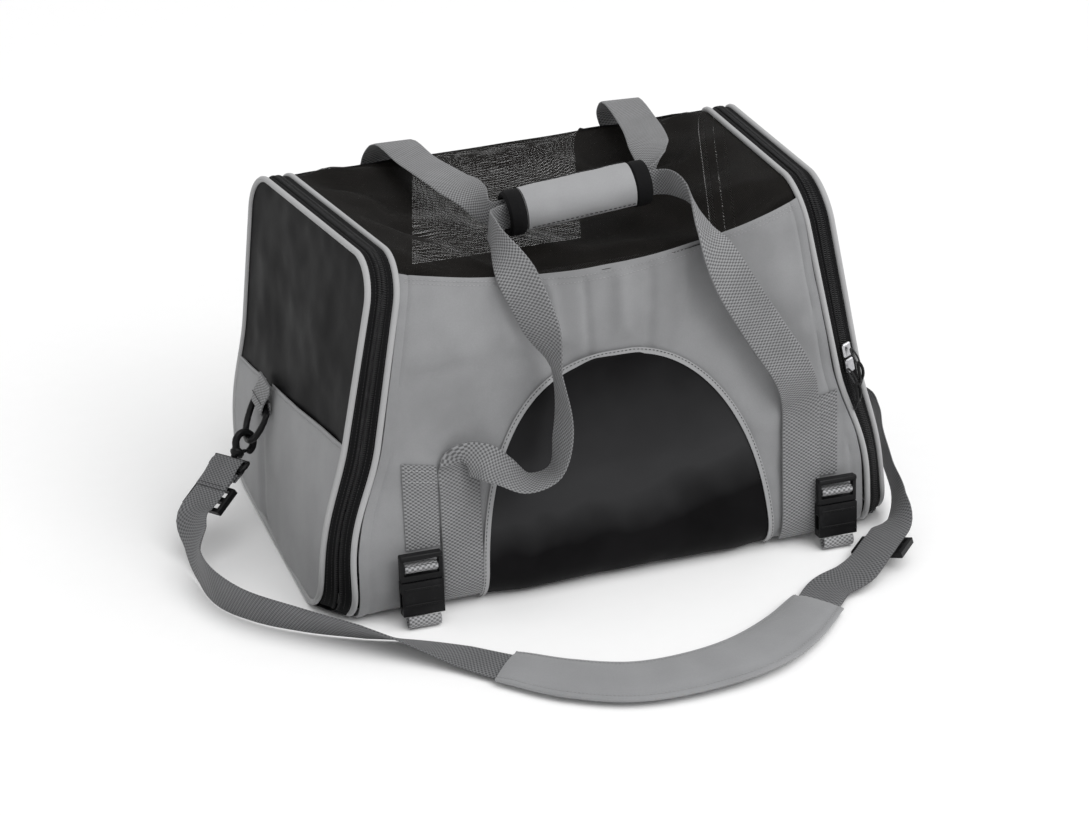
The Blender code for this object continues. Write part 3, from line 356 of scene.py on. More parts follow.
def normal_at(point_at, a, b, middle):
    step = 0.004
    a0, a1 = max(a - step, 0.0), min(a + step, 1.0)
    b0, b1 = max(b - step, 0.0), min(b + step, 1.0)
    normal = (point_at(a1, b) - point_at(a0, b)).cross(point_at(a, b1) - point_at(a, b0))
    normal.normalize()
    return -normal if normal.dot(point_at(a, b) - middle) < 0.0 else normal


BAG_MIDDLE = Vector((0.0, 0.0, 0.14))


def cloth_grid(point_at, columns, rows, outer=0.0, relief=None, middle=BAG_MIDDLE, keep=None,
               thickness=CLOTH_THICKNESS):
    """Vertices, faces and UVs of a closed cloth sheet over point_at(a, b)."""
    flat = [[point_at(c / columns, r / rows) for c in range(columns + 1)]
            for r in range(rows + 1)]
    outer_rows, inner_rows = [], []
    for r in range(rows + 1):
        outer_rows.append([])
        inner_rows.append([])
        for c in range(columns + 1):
            point = flat[r][c]
            wide = flat[r][min(c + 1, columns)] - flat[r][max(c - 1, 0)]
            tall = flat[min(r + 1, rows)][c] - flat[max(r - 1, 0)][c]
            normal = wide.cross(tall).normalized()
            if normal.dot(point - middle) < 0.0:
                normal.negate()
            lift = outer + (relief(c / columns, r / rows, point) if relief else 0.0)
            outer_rows[-1].append(point + normal * lift)
            inner_rows[-1].append(point + normal * (lift - thickness))
    verts, faces, uvs, used = [], [], [], {}
    wide = sum((outer_rows[rows // 2][c + 1] - outer_rows[rows // 2][c]).length
               for c in range(columns))
    tall = sum((outer_rows[r + 1][columns // 2] - outer_rows[r][columns // 2]).length
               for r in range(rows))

    def index(k, r, c):
        if (k, r, c) not in used:
            used[(k, r, c)] = len(verts)
            verts.append((outer_rows, inner_rows)[k][r][c])
            uvs.append((wide * c / columns, tall * r / rows))
        return used[(k, r, c)]

    def kept(r, c):
        return 0 <= r < rows and 0 <= c < columns and (keep is None or keep(r, c))

    for r in range(rows):
        for c in range(columns):
            if not kept(r, c):
                continue
            for k in (0, 1):
                faces.append((index(k, r, c), index(k, r, c + 1),
                              index(k, r + 1, c + 1), index(k, r + 1, c)))
            edges = (((r - 1, c), (r, c), (r, c + 1)), ((r + 1, c), (r + 1, c), (r + 1, c + 1)),
                     ((r, c - 1), (r, c), (r + 1, c)), ((r, c + 1), (r, c + 1), (r + 1, c + 1)))
            for neighbour, start, end in edges:
                if not kept(*neighbour):
                    faces.append((index(0, *start), index(0, *end),
                                  index(1, *end), index(1, *start)))
    return verts, faces, uvs


def cloth(name, point_at, columns, rows, material, body, outer=0.0, relief=None,
          middle=BAG_MIDDLE, keep=None, thickness=CLOTH_THICKNESS, replaces=()):
    shape = cloth_grid(point_at, columns, rows, outer, relief, middle, keep, thickness)
    return add_piece(name, shape, material, body, replaces)


def spline(points, steps):
    """Smooth curve through the points, `steps` pieces to each span."""
    points = [Vector(p) for p in points]
    spans = [max((b - a).length, 1e-6) for a, b in zip(points, points[1:])]
    slopes = [(b - a) / span for a, b, span in zip(points, points[1:], spans)]
    ends = [slopes[0]]
    for i in range(1, len(points) - 1):
        before, after = spans[i - 1], spans[i]
        ends.append((slopes[i - 1] * after + slopes[i] * before) / (before + after))
    ends.append(slopes[-1])
    curve = []
    for i, span in enumerate(spans):
        for k in range(steps):
            t = k / steps
            curve.append(points[i] * (2 * t ** 3 - 3 * t ** 2 + 1)
                         + ends[i] * span * (t ** 3 - 2 * t ** 2 + t)
                         + points[i + 1] * (3 * t ** 2 - 2 * t ** 3)
                         + ends[i + 1] * span * (t ** 3 - t ** 2))
    curve.append(points[-1])
    return curve


def tangents(path, closed=False):
    count = len(path)
    result = []
    for i in range(count):
        before = path[i - 1] if (i > 0 or closed) else path[i]
        after = path[(i + 1) % count] if (i < count - 1 or closed) else path[i]
        result.append((after - before).normalized())
    return result


def sweep(path, frames, section, closed=False, scale=None):
    """Verts, faces and UVs of a section drawn along a path.

    frames is (across, normal) at each point; section is a list of (across, normal) offsets.
    """
    verts, faces, uvs = [], [], []
    ring, count = len(section), len(path)
    girth = [0.0]
    for (x0, y0), (x1, y1) in zip(section, section[1:]):
        girth.append(girth[-1] + math.hypot(x1 - x0, y1 - y0))
    run = 0.0
    for i, (point, (across, normal)) in enumerate(zip(path, frames)):
        if i:
            run += (path[i] - path[i - 1]).length
        stretch = scale[i] if scale else (1.0, 1.0)
        for j, (x, y) in enumerate(section):
            verts.append(point + across * x * stretch[0] + normal * y * stretch[1])
            uvs.append((run, girth[j]))
    for i in range(count if closed else count - 1):
        k = (i + 1) % count
        for j in range(ring):
            m = (j + 1) % ring
            faces.append((i * ring + j, i * ring + m, k * ring + m, k * ring + j))
    if not closed:
        faces.append(tuple(range(ring)))
        faces.append(tuple((count - 1) * ring + j for j in range(ring)))
    return verts, faces, uvs


def strap_section(width, thickness):
    """Flat webbing with rounded selvedges, as (across, normal) offsets."""
    half, t = width / 2, thickness / 2
    top = [(half * x, t * y) for x, y in ((-1.0, 0.0), (-0.97, 0.75), (-0.90, 1.0), (-0.45, 1.0),
                                          (0.0, 1.0), (0.45, 1.0), (0.90, 1.0), (0.97, 0.75))]
    return top + [(-x, -y) for x, y in top]


def strap_frames(path, sides):
    frames = []
    for tangent, side in zip(tangents(path), sides):
        across = (side - tangent * side.dot(tangent)).normalized()
        frames.append((across, tangent.cross(across)))
    return frames


def webbing(name, stations, material, body, steps=6, thickness=0.0015, replaces=()):
    """A strap through (point, width direction, width) stations."""
    path = spline([s[0] for s in stations], steps)
    sides = spline([s[1] for s in stations], steps)
    widths = [v.x for v in spline([(s[2], 0.0, 0.0) for s in stations], steps)]
    widest = max(widths)
    shape = sweep(path, strap_frames(path, sides), strap_section(widest, thickness),
                  scale=[(w / widest, 1.0) for w in widths])
    return add_piece(name, shape, material, body, replaces), path


def round_section(radius, sections):
    return [(radius * math.cos(2 * math.pi * k / sections),
             radius * math.sin(2 * math.pi * k / sections)) for k in range(sections)]


def carried_frames(path, closed=False):
    """Frames that turn as little as possible along the path."""
    result = []
    across = None
    for tangent in tangents(path, closed):
        if across is None:
            across = tangent.cross(UP)
            if across.length < 0.05:
                across = tangent.orthogonal()
        across = (across - tangent * across.dot(tangent)).normalized()
        result.append((across, tangent.cross(across)))
    return result


def piping(name, path, body, replaced):
    """A cord that runs round a closed seam."""
    shape = sweep(path, carried_frames(path, True), round_section(PIPING_RADIUS, 10), True)
    add_piece(name, shape, "light_trim", body, (replaced,))


def stitches(name, path, normals, material, body, pitch=0.0032, length=0.0021, radius=0.00028):
    """A row of thread stitches lying on a surface."""
    verts, faces = [], []
    travelled, due = 0.0, pitch / 2
    for i in range(len(path) - 1):
        start, end = path[i], path[i + 1]
        span = (end - start).length
        while span > 1e-9 and travelled + span >= due:
            share = (due - travelled) / span
            centre = start.lerp(end, share) + normals[i] * radius * 0.5
            along = (end - start) / span
            across = along.cross(normals[i]).normalized()
            base = len(verts)
            for shift, size in ((-0.5, 0.0), (-0.32, 1.0), (0.32, 1.0), (0.5, 0.0)):
                if size:
                    for k in range(4):
                        turn = math.pi / 2 * k
                        verts.append(centre + along * length * shift
                                     + (across * math.cos(turn) + normals[i] * math.sin(turn))
                                     * radius)
                else:
                    verts.append(centre + along * length * shift - normals[i] * radius * 0.6)
            for k in range(4):
                m = (k + 1) % 4
                faces.append((base, base + 1 + m, base + 1 + k))
                faces.append((base + 1 + k, base + 1 + m, base + 5 + m, base + 5 + k))
                faces.append((base + 9, base + 5 + k, base + 5 + m))
            due += pitch
        travelled += span
    add_piece(name, (verts, faces, None), material, body)


def surface_line(point_at, places, lift, middle=BAG_MIDDLE):
    """Points and normals along (a, b) places of a surface."""
    normals = [normal_at(point_at, a, b, middle) for a, b in places]
    return [point_at(a, b) + n * lift for (a, b), n in zip(places, normals)], normals


def steps_between(start, end, count):
    return [tuple(p + (q - p) * k / count for p, q in zip(start, end)) for k in range(count + 1)]


def stitch_cloth(name, surface, relief, height, lift, count, body):
    """A row of stitches across a cloth at one height, which follows the cloth's relief."""
    places = steps_between((0.01, height), (0.99, height), count)
    path, normals = surface_line(surface, places, 0.0)
    path = [p + n * (relief(a, b, p) + lift) for p, n, (a, b) in zip(path, normals, places)]
    stitches(name, path, normals, "thread", body)


# ----------------------------------------------------------- the lofted shell
# Corners of the end seams: bottom front, top front, top rear, bottom rear.
BODY_CORNERS = {
    "left": ((-0.2215, -0.161, 0.0), (-0.167, -0.130, 0.293),
             (-0.196, 0.127, 0.283), (-0.2215, 0.138, 0.0)),
    "right": ((0.230, -0.150, 0.0), (0.166, -0.118, 0.306),
              (0.181, 0.127, 0.297), (0.230, 0.138, 0.0)),
}
DOOR_CORNERS = {
    "left": ((-0.2435, -0.134, 0.0), (-0.189, -0.130, 0.293),
             (-0.218, 0.127, 0.283), (-0.2435, 0.138, 0.0)),
    "right": ((0.252, -0.134, 0.0), (0.188, -0.118, 0.306),
              (0.203, 0.127, 0.297), (0.252, 0.138, 0.0)),
}
RADII = (0.032, 0.034, 0.034, 0.032)
BODY_BOW = 0.009
DOOR_BOW = 0.005
BOW_HEIGHT = 0.15
# Stations round an end loop, from the middle of the base over the front.
FRONT_START, FRONT_END = 7, 17
TOP_START, TOP_END = 21, 29
REAR_START, REAR_END = 33, 43
BASE_RETURN, LOOP_STEPS = 47, 50
BASE_SIDE = 3
STRETCHES = ((FRONT_START, FRONT_END), (TOP_START, TOP_END), (REAR_START, REAR_END),
             (BASE_RETURN, LOOP_STEPS))
CORNER_STARTS = (BASE_SIDE, FRONT_END, TOP_END, REAR_END)
CORNER_STEPS = 4


def bow_at(z):
    return math.sin(math.pi * z / BOW_HEIGHT) ** 2 if 0.0 < z < BOW_HEIGHT else 0.0


def loop_point(corners, side, bow, s, lift=0.0):
    """Point of an end seam at station s: straight runs joined by quarter rounds."""
    ring = [Vector(c) for c in corners]
    ring[0].z += lift
    ring[3].z += lift
    edges = [(ring[(i + 1) % 4] - ring[i]).normalized() for i in range(4)]
    start = (ring[0] + ring[3]) / 2
    s = s % LOOP_STEPS
    if s < BASE_SIDE:
        point = start.lerp(ring[0] - edges[3] * RADII[0], s / BASE_SIDE)
    else:
        i = max(k for k in range(4) if s >= CORNER_STARTS[k])
        low, high = STRETCHES[i]
        if s < low:
            turn = math.pi / 2 * (s - CORNER_STARTS[i]) / CORNER_STEPS
            point = ring[i] - edges[i - 1] * RADII[i] * (1 - math.sin(turn)) \
                + edges[i] * RADII[i] * (1 - math.cos(turn))
        else:
            leave = ring[i] + edges[i] * RADII[i]
            target = start if i == 3 else ring[i + 1] - edges[i] * RADII[i + 1]
            point = leave.lerp(target, (s - low) / (high - low))
    point.x += OUTWARD[side] * bow * bow_at(point.z)
    return point


def body_seam(side, s, lift=0.0):
    return loop_point(BODY_CORNERS[side], side, BODY_BOW, s, lift)


def door_seam_loop(side, s, lift=0.0):
    return loop_point(DOOR_CORNERS[side], side, DOOR_BOW, s, lift)


def shell_point(u, s):
    return body_seam("left", s).lerp(body_seam("right", s), u)


def wall_point(x, z, rear=False):
    """The point of the front or rear wall at the given x and height."""
    u, s = 0.5, 0.0
    low, high = (TOP_END, BASE_RETURN) if rear else (BASE_SIDE, TOP_START)
    for _ in range(3):
        a, b = float(low), float(high)
        for _ in range(17):
            s = (a + b) / 2
            if (shell_point(u, s).z > z) == rear:
                a = s
            else:
                b = s
        left, right = body_seam("left", s).x, body_seam("right", s).x
        u = (x - left) / (right - left)
    return shell_point(u, s)


def front_hem(u):
    return TOP_START - 2.1 - 1.9 * math.sin(math.pi * min(max(u, 0.0), 1.0)) ** 0.8


def panel_map(u0, u1, low, s1):
    """Surface between stations low and s1 of the loops; s1 may depend on u."""
    def point_at(a, b):
        u = u0 + (u1 - u0) * a
        high = s1(u) if callable(s1) else s1
        return shell_point(u, low + (high - low) * b)
    return point_at


def ease(value, low, high):
    """0 below low, 1 above high and smooth between."""
    t = min(max((value - low) / (high - low), 0.0), 1.0)
    return t * t * (3 - 2 * t)


def ripple(point, size, seed):
    return noise.noise(Vector(point) / size + Vector((seed, seed * 1.7, -seed)))


# ------------------------------------------------------------- front and rear
SEAM = 0.008
# Folds under the hem as (place, width, depth), and beside the doors as (place, lean, depth).
FRONT_FOLDS = ((0.35, 0.010, 0.9), (0.44, 0.007, -0.6), (0.53, 0.012, 1.0), (0.61, 0.008, -0.7),
               (0.70, 0.012, 0.8), (0.22, 0.014, 0.7))
SIDE_FOLDS = ((0.11, 0.10, 1.0), (0.19, 0.16, -0.8), (0.86, -0.10, 0.9))


def seam_groove(a, depth):
    """The groove that a piping's seam pulls beside each end of a panel."""
    return depth * math.exp(-((min(a, 1.0 - a) - 0.021) / 0.0045) ** 2)


def front_relief(a, b, point):
    """Soft folds that fall from the slack hem, flat where straps and legs are sewn on."""
    height = ripple(point, 0.060, 3.1) * 0.0042 + ripple(point, 0.022, 7.7) * 0.0010
    for centre, width, depth in FRONT_FOLDS:
        lean = (1.0 - b) * (centre - 0.5) * 0.9
        height += depth * 0.0040 * math.exp(-((a - centre + lean) / width / 1.6) ** 2) \
            * ease(b, 0.50, 0.93) * ease(1.0 - b, 0.004, 0.045)
    for centre, lean, depth in SIDE_FOLDS:
        height += depth * 0.0030 * math.exp(-((a - centre - lean * (b - 0.5)) / 0.020) ** 2) \
            * ease(b, 0.15, 0.5) * ease(1.0 - b, 0.05, 0.4)
    height -= seam_groove(a, 0.0011)
    height *= ease(b, 0.0, 0.12)
    free = max(ease(point.z, 0.200, 0.225), ease(-point.x, 0.184, 0.196),
               ease(point.x, 0.203, 0.212))
    return min(height, 0.0003 + 0.006 * free) + 0.0003 * ease(b, 0.975, 0.985)


def build_front():
    surface = panel_map(SEAM, 1 - SEAM, BASE_SIDE, front_hem)
    cloth("front_cloth", surface, 190, 96, "grey_fabric", "bag", 0.0002, front_relief,
          replaces=("front_panel",))
    for name, drop in (("hem_stitches", 0.016), ("hem_stitches_low", 0.030)):
        stitch_cloth(name, surface, front_relief, 1.0 - drop, 0.0002, 160, "bag")


WINDOW_LOW, WINDOW_HIGH = 0.30, 0.70
REAR_TOP = TOP_END + 1.2
REAR_SEAM = REAR_START + 4.6
HEM_GAP = 0.05


def build_rear():
    first, last, columns = 16, 46, 62
    rows, sill_row = 40, 35
    top, tall = REAR_TOP + HEM_GAP, REAR_SEAM - REAR_TOP - 2 * HEM_GAP
    sill = top + tall * sill_row / rows

    def surround(a, b):
        """The upper rear wall, with its columns packed so that two meet the window's sides."""
        c = a * columns
        if c < first:
            u = SEAM + (WINDOW_LOW - SEAM) * c / first
        elif c < last:
            u = WINDOW_LOW + (WINDOW_HIGH - WINDOW_LOW) * (c - first) / (last - first)
        else:
            u = WINDOW_HIGH + (1 - SEAM - WINDOW_HIGH) * (c - last) / (columns - last)
        return shell_point(u, top + tall * b)

    def nylon_relief(a, b, point):
        return ripple(point, 0.035, 1.3) * 0.0012 + ripple(point, 0.014, 2.9) * 0.0004

    def mesh_relief(a, b, point):
        return ripple(point, 0.05, 5.0) * 0.0010

    def lower_relief(a, b, point):
        return (ripple(point, 0.055, 4.4) * 0.0015 + ripple(point, 0.02, 6.0) * 0.0005
                - seam_groove(a, 0.0010)) * ease(1 - b, 0.0, 0.2)

    cloth("rear_upper_cloth", surround, columns, rows, "black_nylon", "bag", 0.0003,
          nylon_relief, keep=lambda r, c: r >= sill_row or not first <= c < last,
          replaces=("rear_upper_panel",))
    window = panel_map(WINDOW_LOW, WINDOW_HIGH, top, sill)
    cloth("rear_mesh", window, 30, 24, "black_mesh", "bag", -0.0003, mesh_relief,
          thickness=0.0004, replaces=("rear_mesh_window",))
    lower = panel_map(SEAM, 1 - SEAM, REAR_SEAM - 0.06, LOOP_STEPS - BASE_SIDE)
    cloth("rear_lower_cloth", lower, 90, 50, "grey_fabric", "bag", 0.0006, lower_relief,
          replaces=("rear_lower_panel",))
    path, normals = surface_line(lower, steps_between((0.01, 0.022), (0.99, 0.022), 120), 0.0010)
    stitches("rear_seam_stitches", path, normals, "thread", "bag")
    corners = ((WINDOW_LOW, top), (WINDOW_LOW, sill), (WINDOW_HIGH, sill), (WINDOW_HIGH, top))
    places = [place for start, end in zip(corners, corners[1:])
              for place in steps_between(start, end, 24)]
    path = [shell_point(u, s) for u, s in places]
    frames = strap_frames(path, [(p - BAG_MIDDLE).normalized() for p in path])
    add_piece("rear_window_binding", sweep(path, frames, strap_section(0.0016, 0.007)),
              "black_binding", "bag")


# ------------------------------------------------------------------ mesh top
TOP_SAG = 0.005
TOP_BLEND = 0.28
FRONT_LAP, REAR_LAP = 0.02, 0.03


def top_surface(a, b):
    u = SEAM + (1 - 2 * SEAM) * a
    start = front_hem(u) - FRONT_LAP
    end = REAR_TOP + REAR_LAP
    shaped = shell_point(u, start + (end - start) * b)
    slack = shell_point(u, start).lerp(shell_point(u, end), b)
    slack.z -= TOP_SAG * math.sin(math.pi * b)
    return shaped.lerp(slack, ease(min(u, 1 - u), 0.0, TOP_BLEND))


def top_relief(a, b, point):
    """Slack folds: diagonals from the end pipings and long waves across the middle."""
    inside = ease(min(a, 1 - a, b, 1 - b), 0.0, 0.10)
    wave = math.sin(2 * math.pi * (2.3 * a + 1.1 * b) + 3.0 * ripple(point, 0.09, 2.2))
    near_end = 1.0 - ease(min(a, 1 - a), 0.05, 0.30)
    fold = math.sin(2 * math.pi * (3.2 * b + 2.6 * min(a, 1 - a))
                    + 2.5 * ripple(point, 0.07, 8.1))
    slack = 0.0026 * wave + 0.0042 * near_end * fold + 0.0026 * ripple(point, 0.03, 5.5)
    under_hem = 0.0016 * (1 - ease(b, 0.0, 0.05))
    return inside * slack - 0.0006 - under_hem


def build_top():
    cloth("top_mesh", top_surface, 110, 64, "black_mesh", "bag", -0.0004, top_relief,
          thickness=0.0004, replaces=("top_mesh_panel",))


# --------------------------------------------------------------- front pocket
POCKET_X = 0.0100
POCKET_HEIGHT = 0.195
POCKET_FOOT = 0.004
POCKET_REACH = {"left": (0.1215, 2.6), "right": (0.1290, 2.0)}
POCKET_CORNER = 0.25


def pocket_half(z, side):
    reach, power = POCKET_REACH[side]
    return reach * max(1.0 - (z / POCKET_HEIGHT) ** power, 0.0) ** (1.0 / power)


def pocket_surface(a, b):
    if b < POCKET_CORNER:
        z = POCKET_FOOT + (RADII[0] - POCKET_FOOT) * (b / POCKET_CORNER) ** 1.5
    else:
        rise = math.sin(math.pi / 2 * (b - POCKET_CORNER) / (1 - POCKET_CORNER))
        z = RADII[0] + (POCKET_HEIGHT * 0.998 - RADII[0]) * rise
    low = POCKET_X - pocket_half(z, "left")
    high = POCKET_X + pocket_half(z, "right")
    return wall_point(low + (high - low) * a, z)


def pocket_edge():
    """Round the pocket from its left foot over the arch to its right foot."""
    places = [(0.0, k / 60) for k in range(61)] + [(1.0, 1 - k / 60) for k in range(61)]
    return surface_line(pocket_surface, places, 0.0)


def build_pocket():
    def relief(a, b, point):
        edge = ease(min(a, 1 - a, (1 - b) * 1.6, b * 2), 0.0, 0.16)
        fold = math.exp(-((b - 0.42 - 0.10 * a) / 0.035) ** 2) * ease(a, 0.0, 0.2) \
            * ease(0.75 - a, 0.0, 0.25)
        return 0.0016 + edge * (0.0022 + ripple(point, 0.05, 9.1) * 0.0016
                                + ripple(point, 0.018, 1.9) * 0.0005 - 0.0010 * fold)
    cloth("pocket_cloth", pocket_surface, 90, 70, "pocket_nylon", "bag", 0.0, relief,
          replaces=("front_pocket_panel",), thickness=0.0008)
    path, normals = pocket_edge()
    section = [(x + 0.0026, y) for x, y in strap_section(0.0012, 0.0046)]
    add_piece("pocket_edge_fold", sweep(path, strap_frames(path, normals), section),
              "edge_fabric", "bag")
    outward = [(p - Vector((POCKET_X, p.y, 0.07))).normalized() for p in path]
    row = [p + n * 0.0034 + (o - n * o.dot(n)) * 0.0012 for p, n, o in zip(path, normals, outward)]
    stitches("pocket_stitches", row, normals, "dark_thread", "bag", pitch=0.0034)


# ------------------------------------------------------------------ end trims
PIPING_RADIUS = 0.0025
COIL_TURN = 0.0017
COIL_SIDES = 5
COIL_WIRE = 0.00036


def build_end_trim(side):
    stations = [LOOP_STEPS * k / 260 for k in range(260)]
    body_line = [body_seam(side, s, 0.0029) for s in stations]
    door_line = [door_seam_loop(side, s, 0.0030) for s in stations]
    piping("body_piping_cord_" + side, body_line, "bag", "body_piping_" + side)
    piping("door_piping_cord_" + side, door_line, "door_" + side, "door_piping_" + side)

    def band(low, share_high, margin):
        """Strip between two shares of the way from the body's seam to the door's seam."""
        def point_at(a, b):
            s = margin + (LOOP_STEPS - 2 * margin) * b
            high = share_high(s) if callable(share_high) else share_high
            return body_seam(side, s).lerp(door_seam_loop(side, s), low + (high - low) * a)
        return point_at

    def split(s):
        """The body's tape covers the band under the base and half of it elsewhere."""
        near_base = min(s, LOOP_STEPS - s)
        return 0.92 - 0.44 * ease(near_base, 3.2, 4.6)

    halves = (("body", "bag", (0.06, split, 0.02), 240, 0.44, 0.0, (0.16, 0.30)),
              ("door", "door_" + side, (0.53, 0.94, 5.1), 220, 0.58, math.pi, (0.72, 0.86)))
    for word, body, strip, rows, coil, turn, seams in halves:
        cloth("%s_tape_%s" % (word, side), band(*strip), 4, rows, "zip_tape", body, 0.0,
              replaces=("zip_tape_%s_%s" % (word, side),), thickness=0.0009)
        coil_line("%s_coil_%s" % (word, side), band(coil, coil, 5.2), turn, body)
        for number, share in enumerate(seams):
            path, normals = tape_line(band(share, share, 5.4), 300)
            stitches("%s_tape_stitches_%s_%d" % (word, side, number), path, normals,
                     "zip_coil", body, pitch=0.0026, length=0.0018, radius=0.0003)


def tape_line(line, count):
    path = [line(0.0, k / count) for k in range(count + 1)]
    normals = []
    for k, tangent in enumerate(tangents(path)):
        outward = path[k] - Vector((0.0, 0.0, 0.14))
        outward.x = 0.0
        normals.append((outward - tangent * outward.dot(tangent)).normalized())
    return path, normals


def coil_line(name, line, turn, body):
    """One half of a coil zip: a flattened spiral along the tape's edge."""
    path, normals = tape_line(line, 500)
    lengths = [0.0]
    for p, q in zip(path, path[1:]):
        lengths.append(lengths[-1] + (q - p).length)
    count = int(lengths[-1] / COIL_TURN) * COIL_SIDES
    points = []
    k = 0
    for i in range(count):
        distance = lengths[-1] * i / count
        while k < len(path) - 2 and lengths[k + 1] < distance:
            k += 1
        share = (distance - lengths[k]) / (lengths[k + 1] - lengths[k])
        centre = path[k].lerp(path[k + 1], share)
        along = (path[k + 1] - path[k]).normalized()
        normal = normals[k]
        across = along.cross(normal)
        angle = 2 * math.pi * i / COIL_SIDES + turn
        points.append(centre + across * math.cos(angle) * 0.0017
                      + normal * (0.0008 + math.sin(angle) * 0.0008))
    shape = sweep(points, carried_frames(points), round_section(COIL_WIRE, 4))
    add_piece(name, shape, "zip_coil", body, crisp=80)


# ---------------------------------------------------------------------- doors
SEAM_FRONT = 0.49
SEAM_REAR = 0.39
DOOR_CLEAR = 0.0022
DOOR_HEIGHT, DOOR_WIDTH = 0.29, 0.265


def door_point(side, p, q):
    bottom_front, top_front, top_rear, bottom_rear = [Vector(c) for c in DOOR_CORNERS[side]]
    point = bottom_front.lerp(bottom_rear, p).lerp(top_front.lerp(top_rear, p), q)
    point.x += OUTWARD[side] * DOOR_BOW * bow_at(point.z)
    return point


def door_inset(q):
    inset = DOOR_CLEAR
    for distance, radius in ((q * DOOR_HEIGHT, RADII[0]), ((1 - q) * DOOR_HEIGHT, RADII[1])):
        if distance < radius:
            inner = radius - DOOR_CLEAR
            inset = radius - math.sqrt(max(inner ** 2 - (radius - distance) ** 2, 0.0))
    return inset


def door_map(side, q0, q1, dense_top):
    def point_at(a, b):
        low = q0(a) if callable(q0) else q0
        high = q1(a) if callable(q1) else q1
        share = math.sin(math.pi / 2 * b) if dense_top else 1.0 - math.cos(math.pi / 2 * b)
        q = low + (high - low) * share
        edge = door_inset(q) / DOOR_WIDTH
        return door_point(side, edge + (1.0 - 2.0 * edge) * a, q)
    return point_at


def seam_height(p):
    return SEAM_FRONT + (SEAM_REAR - SEAM_FRONT) * p


def build_door(side):
    body = "door_" + side
    panel = door_map(side, 0.0095, lambda p: seam_height(p) + 0.010, False)
    window = door_map(side, seam_height, 0.992, True)

    def puff(seed, strength, creases, strap_pull=0.0):
        def relief(a, b, point):
            edge = ease(min(a, 1 - a), 0.0, 0.14)
            crease = 0.0024 * math.exp(-((a - 0.64 - 0.06 * b) / 0.03) ** 2)
            return edge * (strength + ripple(point, 0.06, seed) * creases - crease * strap_pull
                           + ripple(point, 0.02, seed + 4) * creases * 0.3)
        return relief

    panel_puff = puff(6.3 + OUTWARD[side], 0.0008, 0.0018, 1.0)
    cloth("door_window_cloth_" + side, window, 60, 56, "black_nylon", body, 0.0,
          puff(2.7 + OUTWARD[side], -0.0008, 0.0022), replaces=("door_window_" + side,),
          thickness=0.0008)
    cloth("door_panel_cloth_" + side, panel, 60, 50, "grey_fabric", body, 0.0010, panel_puff,
          replaces=("door_panel_" + side,))
    stitch_cloth("door_seam_stitches_" + side, panel, panel_puff, 0.985, 0.0012, 90, body)


# --------------------------------------------------------------- base and mat
def build_base():
    surface = panel_map(SEAM, 1 - SEAM, -BASE_SIDE, BASE_SIDE)
    cloth("bottom_cloth", surface, 40, 24, "black_nylon", "bag", 0.0,
          replaces=("bottom_panel",), thickness=0.0012)
    low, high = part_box("fleece_mat")
    middle = (low + high) / 2
    half = (high - low) / 2

    def mat(a, b):
        return Vector((low.x + (high.x - low.x) * a, low.y + (high.y - low.y) * b, middle.z))

    def crown(a, b, point):
        edge = min(a * half.x, (1 - a) * half.x, b * half.y, (1 - b) * half.y) * 2
        return half.z * (ease(edge, -0.004, 0.012) - 0.35) \
            + ripple(point, 0.012, 3.0) * 0.0006

    pad = cloth("fleece_pad", mat, 60, 34, "fleece", "bag", 0.0, crown, Vector((0, 0, -1)),
                thickness=0.006, replaces=("fleece_mat",))


# ------------------------------------------------------------ handles and grip
GRIP_LEFT = Vector((-0.063, -0.066, 0.294))
GRIP_RIGHT = Vector((0.055, -0.066, 0.306))
GRIP_RADIUS = 0.0170
FLAP_START, FLAP_END = 66, 218
FLAP_RADIUS = 0.0186
BINDING = 0.013
LEG_WIDTH = 0.034
FOLDED_WIDTH = 0.021
# How far beside each end of the grip, and how high, a handle enters it and then lies inside.
GRIP_ENTRY = {"left": ((-0.009, -0.001), (0.006, 0.001)),
              "right": ((0.008, 0.001), (-0.006, -0.001))}
LEG_X = {"left": -0.1300, "right": 0.1640}
LEG_HEIGHTS = (0.010, 0.014, 0.019, 0.025, 0.034, 0.056, 0.080, 0.102, 0.124)


def leg_stations(x, stand_off, rear=False):
    stations = []
    for z in LEG_HEIGHTS:
        point = wall_point(x, z, rear)
        across = wall_point(x + LEG_WIDTH / 2, z, rear) - wall_point(x - LEG_WIDTH / 2, z, rear)
        rise = wall_point(x, z + 0.003, rear) - wall_point(x, z - 0.003, rear)
        normal = rise.cross(across).normalized()
        if (normal.y > 0) != rear:
            normal.negate()
        stations.append((point + normal * stand_off, across.normalized(), LEG_WIDTH))
    return stations


def grip_stations(end, depth, rise):
    """A half handle's last run: into the grip at one end and on to its middle."""
    (x0, z0), (x1, z1) = GRIP_ENTRY["left" if end is GRIP_LEFT else "right"]
    places = [end + Vector((x0, depth * 0.006, z0)), end + Vector((x1, depth * 0.005, z1)),
              (GRIP_LEFT + GRIP_RIGHT) / 2 + Vector((0, depth * 0.005, 0))]
    return [(place, (0.0, 0.0, rise), FOLDED_WIDTH) for place in places]


